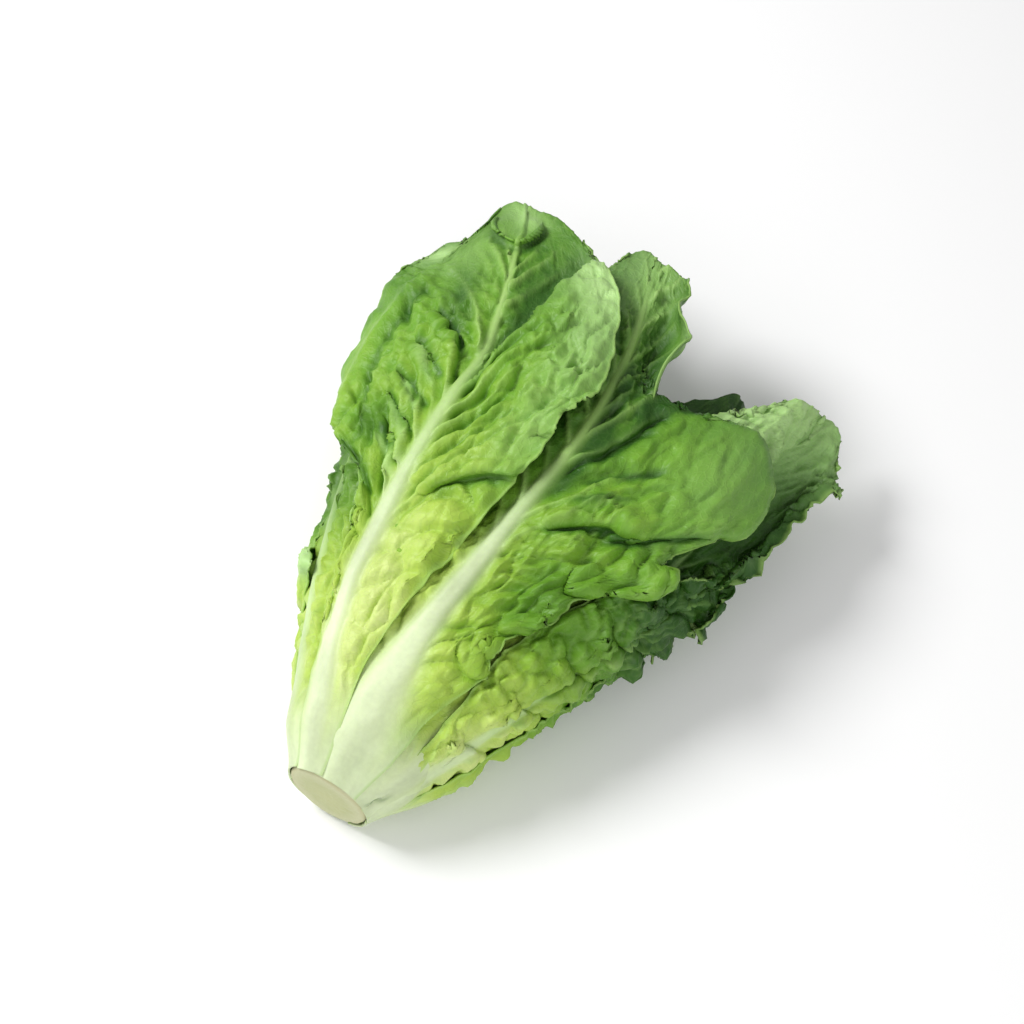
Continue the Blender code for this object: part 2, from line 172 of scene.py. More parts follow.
# %% The outer leaves' guide lines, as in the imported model
GUIDES = {
    "outer_leaf_top_left": (
        guide((113, 0, 1), (121, .034, 1), (121, .066, 1), (118, .098, 1), (116, .13, 1),
              (114, .164, 1), (114, .198, 1), (120, .232, 1.02), (131, .264, 1.06)),
        guide((129, 0, 1), (131, .038, 1), (131, .074, 1), (131, .108, 1), (154, .14, 1.02),
              (164, .168, 1.05), (160, .198, 1.07), (155, .225, 1.09), (150, .243, 1.09)),
        guide((99, 0, 1), (99, .036, 1.03), (94, .07, 1.05), (89, .104, 1.06), (87, .14, 1.09),
              (84, .172, 1.13), (82, .202, 1.15), (90, .24, 1.12), (108, .262, 1.08)),
    ),
    "outer_leaf_top_centre": (
        guide((76, 0, .93), (84, .028, .93), (85, .054, .93), (83, .08, .93), (81, .108, .93),
              (80, .136, .93), (79, .164, .93), (79.5, .192, .93), (82, .226, .92), (86, .252, .92),
              (91, .28, .93)),
        guide((96, 0, .93), (107, .028, .87), (114, .056, .84), (118, .084, .84), (120, .112, .84),
              (122, .14, .84), (122, .168, .84), (120, .196, .86), (113, .224, .88), (105, .25, .9),
              (99, .27, .93)),
        guide((50, 0, .93), (54, .032, .94), (54, .062, .95), (50, .096, .96), (37, .13, .98),
              (28, .164, 1), (24, .198, 1.02), (42, .225, .98), (69, .208, .94), (67, .24, 1.02),
              (80, .27, .99)),
    ),
    "outer_leaf_right": (
        guide((24, 0, .8), (22, .034, .8), (20, .066, .8), (18, .1, .8), (16, .134, .81),
              (14, .168, .82), (11, .202, .84), (8, .236, .9), (6, .264, .97)),
        guide((50, 0, .8), (62, .034, .8), (66, .066, .8), (68, .1, .8), (68, .134, .8),
              (66, .168, .8), (58, .202, .81), (46, .228, .83), (32, .244, .88)),
        guide((8, 0, .8), (-14, .036, .8), (-24, .072, .8), (-24, .108, .8), (-18, .142, .83),
              (-14, .18, .99), (-12, .208, 1.05), (-10, .232, 1.11), (-6, .248, 1.1)),
    ),
    "outer_leaf_lower_right": (
        guide((-4, 0, .86), (8, .022, .87), (13, .043, .89), (15, .065, .9), (13, .087, .9),
              (10, .108, .9), (6, .13, .92), (2, .154, .95), (-2, .176, .98)),
        guide((14, 0, .86), (34, .024, .86), (44, .047, .87), (46, .071, .87), (44, .095, .87),
              (38, .117, .87), (29, .138, .88), (17, .154, .9), (6, .162, .92)),
        guide((-26, 0, .86), (-34, .023, .9), (-37, .045, .93), (-34, .068, .93), (-30, .09, .94),
              (-24, .112, .96), (-19, .133, .99), (-14, .152, 1.01), (-8, .166, 1.01)),
    ),
    "outer_leaf_under_right": (
        guide((-42, 0, .94), (-37, .02, 1.05), (-35, .044, 1.03), (-34, .068, 1), (-33, .09, .98),
              (-32, .113, .97), (-30, .136, .97), (-28, .16, .96), (-27, .182, .97)),
        guide((-20, 0, .94), (-12, .023, .95), (-14, .047, .96), (-17, .07, .96), (-18, .092, .97),
              (-18, .115, .98), (-19, .137, .98), (-21, .158, .98), (-23, .174, .97)),
        guide((-58, 0, .94), (-60, .022, .96), (-62, .046, .96), (-65, .07, .95), (-70, .094, .93),
              (-74, .118, .93), (-69, .142, .95), (-57, .164, .96), (-40, .178, .97)),
    ),
    "outer_leaf_under": (
        guide((266, 0, 1), (267, .028, 1), (268, .056, 1), (269, .084, 1), (270, .112, 1),
              (270, .14, 1), (270, .17, 1), (270, .2, 1), (270, .23, 1)),
        guide((286, 0, 1), (292, .03, 1), (294, .06, 1), (298, .09, 1), (305, .118, 1),
              (311, .146, 1), (312, .174, 1), (306, .2, 1), (292, .222, 1)),
        guide((238, 0, 1), (231, .03, 1), (227, .06, 1), (225, .09, 1), (224, .118, 1),
              (222, .146, 1), (224, .174, 1), (232, .2, 1), (248, .222, 1)),
    ),
    "outer_leaf_under_left": (
        guide((212, 0, .94), (209, .028, .94), (206, .056, .94), (204, .084, .94), (202, .112, .94),
              (200, .14, .94), (198, .168, .94), (196, .196, .94), (194, .222, .94)),
        guide((238, 0, .94), (246, .03, .94), (250, .06, .94), (252, .09, .94), (252, .118, .94),
              (250, .146, .94), (244, .172, .94), (232, .196, .94), (214, .214, .94)),
        guide((190, 0, .94), (180, .03, .92), (175, .056, .91), (171, .08, .92), (180, .104, .89),
              (186, .13, .88), (190, .16, .88), (191, .19, .89), (190, .212, .92)),
    ),
    "outer_leaf_left": (
        guide((165, 0, .87), (164, .03, .87), (163, .06, .87), (162, .09, .87), (161, .122, .87),
              (160, .154, .87), (158, .186, .87), (156, .216, .87), (154, .246, .88)),
        guide((184, 0, .87), (198, .032, .87), (203, .064, .87), (205, .096, .87), (205, .128, .87),
              (203, .16, .87), (197, .19, .87), (187, .216, .87), (172, .238, .88)),
        guide((144, 0, .87), (132, .032, .84), (126, .064, .83), (122, .096, .82), (120, .128, .82),
              (121, .16, .82), (124, .19, .83), (130, .218, .85), (140, .24, .88)),
    ),
}
print("outer leaves:", len(GUIDES))

# %% [markdown]
# The leaves inside follow one rule. Each is wrapped round a bearing, and each next one is shorter and
# sits at a lower level, as in a real head, so a table of bearings and lengths is enough for them.

# %% The inner leaves' guide lines
INNER = (
    (150, .252), (287, .246), (24, .226), (202, .240), (340, .234), (115, .232), (255, .218), (32, .208),
    (170, .200), (308, .182), (85, .176), (223, .164), (0, .152), (138, .140), (275, .127), (53, .114),
    (190, .102),
)
MIDDLE_LEAVES = 9
SHARE = np.array((0, .2, .4, .6, .8, 1))
SPREAD = np.array((.62, .84, .98, 1, .88, .50))
SWEEP = np.array((0, .015, .03, .035, .01, -.055))


def base_of(name):
    """Distance along the head at which this leaf leaves the stem."""
    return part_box(name)[0].y + ORIGIN[1]


inner_names = []
for n, (bearing, length) in enumerate(INNER):
    place = n / (len(INNER) - 1)
    middle_leaf = n < MIDDLE_LEAVES
    name = f"middle_leaf_{n + 1}" if middle_leaf else f"heart_leaf_{n + 1 - MIDDLE_LEAVES}"
    lines = []
    for side in (0, 1, -1):
        lines.append(np.stack([
            bearing + side * (58 + 16 * place) * SPREAD,
            base_of(name) + length * (SHARE + SWEEP * abs(side)),
            np.full(len(SHARE), 0.73 - 0.60 * place),
        ]))
    GUIDES[name] = tuple(lines)
    inner_names.append(name)
for name, lines in GUIDES.items():
    for line in lines:
        line[1][0] = base_of(name)
print("all leaves:", len(GUIDES))

# %% [markdown]
# ## Laying a sheet on the head
#
# A leaf starts as a flat grid whose rows run across it and whose columns run from base to tip. Each
# point is put on the head between the leaf's three guide lines: its midrib and its two margins. The
# sheet also gets a ruler of its own, in metres along and across, because veins grow by the leaf's own
# measure and not by the world's.


# %% Sheets
def unit(arrows):
    """The same directions, each one long."""
    return arrows / np.maximum(np.linalg.norm(arrows, axis=2, keepdims=True), 1e-12)


def tangents(points):
    """The directions along and across a sheet at each of its points."""
    return unit(np.gradient(points, axis=0)), unit(np.gradient(points, axis=1))


def facing(points):
    """The outward direction at each point of a sheet."""
    return unit(np.cross(np.gradient(points, axis=1), np.gradient(points, axis=0)))


def lengths(points, axis):
    """Distance run along the sheet in this direction, from its first point."""
    steps = np.linalg.norm(np.diff(points, axis=axis), axis=2)
    run = np.cumsum(steps, axis=axis)
    return np.concatenate([np.zeros_like(np.take(run, [0], axis=axis)), run], axis=axis)


LEAF_LIFT = 0.0004  # how far each leaf stands off its level
CUT_AT = -0.0012  # where the outer leaves' bases end, just short of the cut face


class Sheet:
    """A leaf's grid of points, with u from base to tip and v from its left to its right margin."""

    def __init__(self, name, along, across, join=0.0):
        self.u = np.linspace(0, 1, along + 1)[:, None]
        self.v = np.linspace(-1, 1, across + 1)[None, :]
        middle, left, right = GUIDES[name]
        lines = []
        for line in (middle, left, right):
            stations = np.linspace(0, 1, line.shape[1])
            lines.append([curve(stations, values, self.u) for values in line])
        far = np.abs(self.v)
        margin = [np.where(self.v > 0, r, l) for l, r in zip(lines[1], lines[2])]
        bearing = lines[0][0] + (margin[0] - lines[0][0]) * far
        round_off = 1 - np.sqrt(1 - np.minimum(far, 0.999) ** 2)
        share = far**1.4 + (round_off - far**1.4) * ease(0.75, 1.0, self.u)
        y = lines[0][1] + (margin[1] - lines[0][1]) * share
        level = lines[0][2] + (margin[2] - lines[0][2]) * far**2
        if join:
            # The outer leaves' bases hug the stem, and each lies a little over the next one.
            hug = ease(0.15, 0.0, self.u)
            level = level + (join + 0.035 * self.v - level) * hug
            bearing = bearing - 7 * self.v * hug
            y = y + (CUT_AT - y) * ease(0.05, 0.0, self.u)
        self.points = place_on_head(bearing, y, level, LEAF_LIFT)
        self.quiet = np.zeros(bearing.shape)  # 1 where no small relief may stand, as on a free edge
        self.measure()
        self.marks = {}

    def measure(self):
        """Sets the sheet's ruler: s along the midrib and t across from it, in metres."""
        middle = self.points.shape[1] // 2
        self.s = lengths(self.points, 0)[:, middle : middle + 1]
        run = lengths(self.points, 1)
        self.t = run - run[:, middle : middle + 1]
        self.far = np.abs(self.t)
        self.half = np.where(self.v > 0, self.t[:, -1:], -self.t[:, :1])
        self.edge = self.half - self.far  # distance in from the margin
        self.out = self.far / np.maximum(self.half, 1e-6)  # 0 on the midrib and 1 at the margin

    def raise_by(self, height):
        """Moves each point outwards by its height."""
        self.points = self.points + facing(self.points) * height[..., None]


trial = Sheet("outer_leaf_top_left", 40, 40)
print("first leaf, along and across:", trial.s[-1, 0].round(3), np.ptp(trial.t, axis=1).max().round(3))

# %% [markdown]
# ## Folds, dents and rolled margins
#
# The big forms come first, as in clay. A crease is a groove or a ridge along a path, and a dent is a
# soft push at one place. A lap is a free edge: the sheet rises along a path and hangs over what lies
# beside it, and small relief is kept off it. A rolled margin is the sheet turned round a rod. Places
# on a leaf are given as (u, v): u is 0 at the base and 1 at the tip, v is -1 at the left margin and 1
# at the right one. Sizes on a leaf are small, so they are given in millimetres.


# %% Big forms
MM = 0.001  # a millimetre, since the scene is in metres
SLOPE = 0.0019  # half the width of the slope up to a free edge
QUIET = 0.0034  # how far from a free edge the small relief stays away


def bell(x):
    """1 at 0, falling away to nothing on both sides."""
    return np.exp(-(x**2))


def ruler_at(sheet, u, v):
    """The ruler's reading at a place on the leaf."""
    rows, columns = sheet.t.shape
    i, j = np.clip(u, 0, 1) * (rows - 1), np.clip((v + 1) / 2, 0, 1) * (columns - 1)
    a, b = int(min(i, rows - 2)), int(min(j, columns - 2))
    near, far = sheet.t[a : a + 2, b] * (1 - (j - b)) + sheet.t[a : a + 2, b + 1] * (j - b)
    return np.array((np.interp(i, np.arange(rows), sheet.s[:, 0]), near + (far - near) * (i - a)))


def away_from(sheet, path):
    """Each point's distance from a path of places, its share of the way along the path, the side of
    the path it lies on (1 is the right) and the path's own direction there, along and across the leaf."""
    stops = np.linspace(0, len(path) - 1, 6 * (len(path) - 1) + 1)
    smooth = [curve(range(len(path)), values, stops) for values in zip(*path)]
    ends = [ruler_at(sheet, u, v) for u, v in zip(*smooth)]
    best = np.full(sheet.t.shape, FAR_OFF)
    share = np.zeros(sheet.t.shape)
    side = np.zeros(sheet.t.shape)
    heading = np.zeros(sheet.t.shape + (2,))
    for n, (a, b) in enumerate(zip(ends, ends[1:])):
        run = b - a
        ds, dt = sheet.s - a[0], sheet.t - a[1]
        k = np.clip((ds * run[0] + dt * run[1]) / (run @ run), 0, 1)
        far = np.hypot(ds - k * run[0], dt - k * run[1])
        closer = far < best
        best = np.where(closer, far, best)
        share = np.where(closer, (n + k) / (len(ends) - 1), share)
        side = np.where(closer, np.sign(run[0] * dt - run[1] * ds), side)
        heading = np.where(closer[..., None], run / np.linalg.norm(run), heading)
    return best, share, side, heading


def trail(sheet, path, width):
    """1 on a path and 0 beyond its width, fading out at the path's ends."""
    far, share, _, _ = away_from(sheet, path)
    return ease(0, 0.2, share) * ease(1, 0.8, share) * bell(far / (MM * width))


def spot(sheet, u, v, long, wide):
    """1 at one place and 0 beyond its length and width."""
    s, t = ruler_at(sheet, u, v)
    return np.exp(-(((sheet.s - s) / (MM * long)) ** 2) - ((sheet.t - t) / (MM * wide)) ** 2)


def crease(sheet, path, width, height):
    """A groove, or a ridge where height is positive."""
    return MM * height * trail(sheet, path, width)


def dent(sheet, u, v, long, wide, height):
    """A soft push outwards, or inwards where height is negative, round one place."""
    return MM * height * spot(sheet, u, v, long, wide)


def step(sheet, path, width, height):
    """A ledge: the sheet stands up by height right of the path and falls back within width."""
    far, _, side, _ = away_from(sheet, path)
    return crease(sheet, path, width, height) * ease(-SLOPE, SLOPE, far * side)


def lap(sheet, path, width, height, over, fade=(0.2, 0.2)):
    """A free edge: the sheet right of the path stands up by height and hangs over the path by over."""
    far, share, side, heading = away_from(sheet, path)
    ends = ease(0, fade[0], share) * ease(1, 1 - fade[1], share)
    amount = MM * ends * ease(-SLOPE, SLOPE, far * side) * bell(far / (MM * width))
    sheet.quiet = np.maximum(sheet.quiet, ends * bell(far / QUIET))
    along, across = tangents(sheet.points)
    shift = along * heading[..., 1:] - across * heading[..., :1]
    sheet.points = sheet.points + (facing(sheet.points) * height + shift * over) * amount[..., None]


def outline(sheet, tip=(), left=(), right=()):
    """Moves the outline outwards. The tip's pairs are (v, distance), and the margins' are (u, distance)."""
    along, across = tangents(sheet.points)
    middle = sheet.points.shape[1] // 2
    forward = np.broadcast_to(along[-1, middle], along.shape)
    for pairs, at, towards, weight in (
        (tip, sheet.v, forward, ease(0.78, 1.0, sheet.u)),
        (left, sheet.u, -across, ease(0.35, 1.0, -sheet.v)),
        (right, sheet.u, across, ease(0.35, 1.0, sheet.v)),
    ):
        if pairs:
            places, amounts = zip(*pairs)
            sheet.points = sheet.points + towards * (MM * curve(places, amounts, at) * weight)[..., None]


def roll(points, start, radius, most, amount):
    """Turns each row of points, past column start, round a rod of this radius by up to most degrees.
    The radius is positive to roll outwards and negative to roll inwards."""
    outward = facing(points)
    rolled = points.copy()
    for i in range(len(points)):
        if amount[i] <= 0:
            continue
        row = points[i, start[i] :]
        run = np.concatenate([[0], np.cumsum(np.linalg.norm(np.diff(row, axis=0), axis=1))])
        ahead = points[i, start[i]] - points[i, start[i] - 2]
        ahead = ahead / np.linalg.norm(ahead)
        up = outward[i, start[i]] * np.sign(radius)
        up = up - ahead * (up @ ahead)
        up = up / np.linalg.norm(up)
        size = abs(radius)
        turn = np.minimum(run / size, math.radians(most))
        past = run - size * turn
        forward = size * np.sin(turn) + past * np.cos(turn)
        rise = size * (1 - np.cos(turn)) + past * np.sin(turn)
        new = row[0] + forward[:, None] * ahead + rise[:, None] * up
        rolled[i, start[i] :] = row + (new - row) * amount[i]
    return rolled


def roll_margin(sheet, side, between, start, radius, most):
    """Rolls one margin, 1 the right and -1 the left, between two shares of the leaf's length."""
    first_u, last_u = between
    amount = ease(first_u, first_u + 0.08, sheet.u) * ease(last_u, last_u - 0.08, sheet.u)
    first = np.full(len(sheet.u), int((start + 1) / 2 * (sheet.v.shape[1] - 1)))
    points = sheet.points[:, ::side]
    # Seen from the other margin the sheet faces the other way, so the rod's side changes too.
    sheet.points = roll(points, first, MM * radius * side, most, amount[:, 0])[:, ::side]


print("big forms: crease, step, lap, dent, outline, roll")

# %% [markdown]
# ## Rib, veins, puffs and frills
#
# Side veins leave the rib at a narrow angle and lean forward, a finger's width apart, and thinner
# veins close the field between them into cells. From the back of a leaf the veins stand up and the
# cells sink, while low on the leaf, where it is crowded, the cells puff out like small pillows. The
# margin has more length than it has room for, so it frills.

# %% What each leaf may set
LEAF = dict(
    grid=(110, 90),
    rib=(10, 7, 4.5, 3, 2, 1),  # half width of the rib, from base to tip
    whiteness=(1.0, 0.95, 0.85, 0.7, 0.55, 0.45),  # how pale the rib is, from base to tip
    keel=(1.2, 2, 1.8, 1.3, 0.8, 0.3),  # how far the rib stands up
    gap=16,  # distance between side veins
    lean=1.3,  # how far forward a side vein runs for each millimetre outwards
    cell=14,  # length of a cell along its side vein
    vein=1,  # height of the side veins
    first=-0.04,  # share of the leaf's length at which side veins begin to stand out
    valley=(0, 0, 1, 2.2, 2, 1),  # how far the blade sinks beside the rib
    reach=9,  # how far out from the rib that sinking fades
    puff=(0, 1.6, 2, 1.2, 1, 0.8),  # height of the puffs, from base to tip
    tilt=0.6,  # how much each puff leans over the next
    loose=(1, 1, 0.8, 0.4, 0.3, 0.5),  # 1 where the puffs keep no rows, 0 where they follow the side veins
    wrinkle=(0, 0.4, 0.8, 1, 1, 0.6),  # height of the small wrinkles
    net=1.0,  # how far the net of small veins stands out
    land=1.8,  # height of the wide, low waves
    frill=(0, 0.6, 1.2, 1.4, 1.4, 1),  # height of the frills at the margin
    frill_width=14,
    frill_length=30,
    still=0,  # the side, 1 or -1, whose margin lies still under the next leaf
    notch=1,  # how ragged the outline is
    salt=1,  # picks the leaf's own random patterns
    join=0.0,  # the level that the base takes where it hugs the stem
    forms=None,  # a function that makes this leaf's own big forms
    young=0.0,  # makes the whole leaf yellower where positive, and greener where negative
    # Touches and lines paint shade, highlights and yellower green onto the leaf.
    touches=(),  # spots of colour: kind, u, v, length, width, amount
    lines=(),  # lines of colour: kind, width, amount, path
    calm=(),  # spots where the small relief is weak, or strong where the amount is negative
)
PAINTED_SHADE, PAINTED_HIGHLIGHT, GOLD = range(3)  # the kinds of colour: painted shade, which also deepens the green, a painted highlight and a yellower green
PARTS = np.linspace(0, 1, 6)
print("settings for each leaf:", len(LEAF))


# %% Relief
def relief(sheet, leaf):
    """Raises the rib, veins, puffs and wrinkles on a sheet, and keeps masks of them for the finish."""
    u, s, t, far, out, salt = sheet.u, sheet.s, sheet.t, sheet.far, sheet.out, leaf["salt"]

    def setting(key):
        return curve(PARTS, leaf[key], u)

    def hills(long, wide, more=0):
        return swell(s / (MM * long), t / (MM * wide), salt + more)

    lively = 1 - sum(amount * spot(sheet, *place) for *place, amount in leaf["calm"])
    lively = np.clip(lively, 0, 3) * (1 - sheet.quiet)
    at_most_one = np.minimum(lively, 1)
    rib_half = MM * setting("rib")
    beside = far / rib_half
    to_tip = ease(0.97, 0.87, u)
    rib = np.exp(-(beside**3)) * to_tip
    blade = ease(0.75, 1.6, beside)
    near_rib = np.exp(-np.clip(far - rib_half, 0, 1) / (MM * leaf["reach"]))

    # Side veins: each whole number of row is one vein, which bends forward as it leaves the rib.
    gap = MM * leaf["gap"]
    bend = leaf["lean"] * far + 0.010 * (1 - np.exp(-far / 0.009)) + 0.15 * far * ease(0.6, 1.0, out)
    drift = 0.0042 * hills(34, 30) + 0.0016 * hills(12, 12, 1)
    row = (s - bend + drift) / gap + 0.5 * (t > 0) + 0.37 * salt
    nearest, below, half_side = np.round(row), np.floor(row), np.sign(t) + 3
    strong = 0.10 + 1.10 * scatter(nearest, half_side, salt)
    vein_half = 0.0014 * (1 - 0.72 * out) + 0.0003
    vein = strong * bell(np.abs(row - nearest) * gap * 0.65 / vein_half)
    vein = vein * ease(0.55, 1.2, beside) * ease(leaf["first"], leaf["first"] + 0.16, u)
    vein = vein * at_most_one * bell(far / 0.030) * (0.75 + 0.45 * hills(19, 17, 15))

    # Puffs: large cells between the veins, with a quilt of small ones on them.
    warp, bulky = 0.30 * hills(12, 12, 3), 0.55 * hills(31, 29, 12)
    loose = setting("loose")
    along = row + loose * (s / gap - row)
    across = far / (MM * leaf["cell"]) + (1 - loose) * 0.7 * scatter(below, half_side, salt + 2)
    inside, off_row, off_across = cells(along + warp + bulky, across - warp + bulky, salt + 4, 0.85)
    pillow = dome(inside, 0.75)
    lean_over = 1 + leaf["tilt"] * (off_across - 0.7 * off_row)
    small, _, _ = cells(s / 0.0068 + 0.5 * hills(10, 10), t / 0.0068, salt + 5, 0.9)
    quilt = dome(small, 0.8)
    patch = ease(-0.35, 0.45, hills(30, 26, 14))
    net = (1 - ease(0.0, 0.26, small)) * patch * blade * ease(0.25, 0.5, u) * leaf["net"]
    puff = MM * setting("puff") * ease(0.0, 0.005, sheet.edge)
    height = puff * blade * (pillow * lean_over + 0.30 * quilt * (0.4 + 0.6 * pillow))

    # Valleys beside the rib, with a narrow slit between some of the veins.
    middle = 0.36 + 0.28 * scatter(below, half_side, salt + 16)
    slit = bell(np.abs(row - below - middle) * gap * 0.5 / 0.0013)
    slit = slit * ease(0.25, 0.75, scatter(below, half_side, salt + 17)) * near_rib**0.7
    slit = slit * ease(1.0, 1.7, beside) * (0.7 + 0.5 * hills(11, 11, 18))
    depth = 0.5 + 0.5 * swell(row, far / 0.02, salt + 6)
    groove = near_rib * blade * (1 - np.clip(1.6 * vein, 0, 1)) * depth
    groove = np.clip(0.5 * groove + 1.1 * slit, 0, 1.3)
    valley = MM * setting("valley") * at_most_one * to_tip
    height = height * (1 - 0.6 * near_rib * ease(0.0, 0.002, valley)) - valley * groove

    # Wrinkles: sharp folds of three sizes.
    folds = 1 - 2 * np.abs(swell(along * 2.1 + 0.6 * warp, far / 0.012 - 0.6 * warp, salt + 8))
    for size, wide, more, share in ((6, 6.6, 9, 0.6), (3.4, 3.6, 19, 0.35)):
        folds = folds + share * (1 - 2 * np.abs(hills(size, wide, more)))
    height = height + MM * setting("wrinkle") * folds * blade * (0.4 + 1.1 * patch) + 0.0006 * net

    height = height * lively
    land = hills(48, 40, 10) + 0.4 * hills(22, 20, 11)
    sheet.raise_by(MM * leaf["land"] * land * ease(0.06, 0.35, u) * ease(0.5, 2.0, beside))
    veins = MM * leaf["vein"] * vein * (1 + 1.2 * near_rib)
    sheet.raise_by(MM * setting("keel") * rib + veins + height)

    sheet.marks["rib"] = rib
    sheet.marks["whiteness"] = setting("whiteness") + 0 * rib
    sheet.marks["vein"] = np.clip(vein * (0.22 + 1.1 * near_rib) + 0.22 * net * at_most_one, 0, 1)
    # Painted shade for the finish: darker colour in the valleys and slits beside the rib.
    sheet.marks["shade"] = np.clip(groove, 0, 1) * ease(0.0, 0.003, valley)
    sheet.marks["relief"] = np.clip(height / 0.0022, -1, 1)


print("veins, puffs, valleys and wrinkles are ready")


# %% Frills
def frill(sheet, leaf):
    """Waves and nicks the margin."""
    s, flat = sheet.s, np.zeros_like(sheet.t)
    height = MM * curve(PARTS, leaf["frill"], sheet.u) * np.where(sheet.v * leaf["still"] > 0, 0.1, 1.0)
    near = ease(MM * leaf["frill_width"], 0.0, sheet.edge)
    long = MM * leaf["frill_length"]
    salt = leaf["salt"] + np.where(sheet.t > 0, 40, 20)
    wave = swell(s / (0.5 * long), flat, salt) + 0.6 * swell(s / (0.21 * long), flat, salt + 1)
    sheet.raise_by(1.5 * height * near**1.5 * wave * (1 - sheet.quiet))

    outwards = tangents(sheet.points)[1] * np.sign(sheet.v)[..., None]
    ragged = swell(s / 0.013, flat, salt + 1) + 0.45 * swell(s / 0.0042, flat, salt + 2)
    between = ease(0.10, 0.5, sheet.u) * ease(1.0, 0.93, sheet.u)
    shift = MM * leaf["notch"] * ragged * ease(0.012, 0.0, sheet.edge) * between
    sheet.points = sheet.points + outwards * shift[..., None]


print("frills are ready")

# %% [markdown]
# ## From sheet to leaf
#
# Blender's own grid gives the faces, and its points are moved onto the sheet. A Solidify modifier then
# gives the blade its thickness inwards, so that the shape already made stays the outer one. The masks
# of rib, vein and cell go onto the mesh as attributes, and the finish reads them.

# %% Leaf builder
THICKNESS = 0.0008
GROUND = 0.0009  # no point of a leaf's outer side lies lower than this


def mesh_object(build, name):
    """An object with the built faces, at the origin."""
    for face in build.faces:
        face.smooth = True
    mesh = bpy.data.meshes.new(name)
    build.to_mesh(mesh)
    build.free()
    piece = bpy.data.objects.new(name, mesh)
    bpy.context.scene.collection.objects.link(piece)
    return piece


def move_points(mesh, points):
    mesh.vertices.foreach_set("co", points.astype(np.float32).ravel())
    mesh.update()


def paint(mesh, name, values):
    """Keeps one number for each point of the mesh under this name."""
    layer = mesh.attributes.new(name, "FLOAT", "POINT")
    layer.data.foreach_set("value", np.ascontiguousarray(values, np.float32).ravel())


def make_leaf(name, finish, slot, **more):
    """Makes one whole leaf. What more names takes the place of a setting in LEAF."""
    leaf = dict(LEAF, **more)
    along, across = leaf["grid"]
    sheet = Sheet(name, along, across, leaf["join"])
    if leaf["forms"]:
        leaf["forms"](sheet)
        sheet.measure()
    relief(sheet, leaf)
    frill(sheet, leaf)
    sheet.points[..., 2] = np.maximum(sheet.points[..., 2], GROUND)

    build = bmesh.new()
    bmesh.ops.create_grid(build, x_segments=across, y_segments=along, size=1.0)
    piece = mesh_object(build, name + "_look")
    mesh = piece.data
    move_points(mesh, sheet.points)

    # The painted shade, painted highlights and yellower green go on as spots and lines.
    touched = np.zeros((3,) + sheet.t.shape)
    for kind, *place, amount in leaf["touches"]:
        touched[kind] += amount * spot(sheet, *place)
    for kind, width, amount, path in leaf["lines"]:
        touched[kind] += amount * trail(sheet, path, width)
    marks = dict(
        sheet.marks, length=sheet.u + 0 * sheet.t, out=sheet.out, edge=np.clip(sheet.edge / 0.02, 0, 1),
        dark=touched[PAINTED_SHADE], highlight_paint=touched[PAINTED_HIGHLIGHT], gold=touched[GOLD] + leaf["young"],
    )
    for key, values in marks.items():
        paint(mesh, key, values)
    layer = mesh.attributes.new("leaf_place", "FLOAT_VECTOR", "POINT")
    ruler = np.stack(np.broadcast_arrays(sheet.s, sheet.t, 0.1 * leaf["salt"]), axis=-1)
    layer.data.foreach_set("vector", ruler.astype(np.float32).ravel())

    mesh.materials.append(finish)
    skin = piece.modifiers.new("thickness", "SOLIDIFY")
    skin.thickness = THICKNESS
    skin.offset = -1
    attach(piece, "root")
    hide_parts(name)
    print(name, "faces:", len(mesh.polygons))


print("the leaf builder is ready")

# %% [markdown]
# ## The leaf's finish
#
# A romaine leaf is white and smooth where it leaves the stem, then yellow-green, and full green only
# where light reaches it. Veins stay pale all the way. The finish is one colour ramp that is driven by
# how far out on the leaf a point is, with the pale veins, painted shade in the hollows and a net of fine
# veins laid over it, and with spots and lines of painted shade and painted highlight. The skin is waxy,
# so it has a soft shine, and light gets a little way into it.


# %% Node helpers
def new_material(name):
    """A material, its node tree and its shader."""
    made = bpy.data.materials.new(name)
    made.use_nodes = True
    return made, made.node_tree, made.node_tree.nodes["Principled BSDF"]


def feed(tree, socket, value):
    """Gives an input what it reads: a number, a colour or another node's output."""
    if isinstance(value, (int, float)):
        socket.default_value = value
    elif isinstance(value, tuple):
        socket.default_value = (*value, 1.0)
    else:
        tree.links.new(value, socket)


def node(tree, kind, **settings):
    """A new node. Settings that name an input set its value, and the others set the node itself."""
    made = tree.nodes.new(kind)
    for key, value in settings.items():
        if hasattr(made, key):
            setattr(made, key, value)
        else:
            feed(tree, made.inputs[key.replace("_", " ")], value)
    return made


def reading(tree, name):
    """The value of a mesh attribute."""
    return node(tree, "ShaderNodeAttribute", attribute_name=name).outputs["Fac"]


def added(tree, *terms, start=0.0, clamp=False):
    """Adds up pairs, each of which is multiplied: a socket with a number or with another socket."""
    total = start
    for n, pair in enumerate(terms, 1):
        made = node(tree, "ShaderNodeMath", operation="MULTIPLY_ADD", use_clamp=clamp and n == len(terms))
        for socket, value in zip(made.inputs, (*pair, total)):
            feed(tree, socket, value)
        total = made.outputs[0]
    return total


def greater(tree, a, b):
    made = node(tree, "ShaderNodeMath", operation="MAXIMUM")
    feed(tree, made.inputs[0], a)
    feed(tree, made.inputs[1], b)
    return made.outputs[0]


def remapped(tree, value, low, high, to_low=0.0, to_high=1.0):
    """Carries the range from low to high over to another range, and stops at its ends."""
    made = node(tree, "ShaderNodeMapRange", From_Min=low, From_Max=high, To_Min=to_low, To_Max=to_high)
    tree.links.new(value, made.inputs["Value"])
    return made.outputs[0]


def blended(tree, share, first, second, kind="MIX"):
    """Mixes two colours. Each is a socket or a plain colour."""
    made = node(tree, "ShaderNodeMix", data_type="RGBA", blend_type=kind)
    for at, value in ((0, share), (6, first), (7, second)):
        feed(tree, made.inputs[at], value)
    return made.outputs[2]


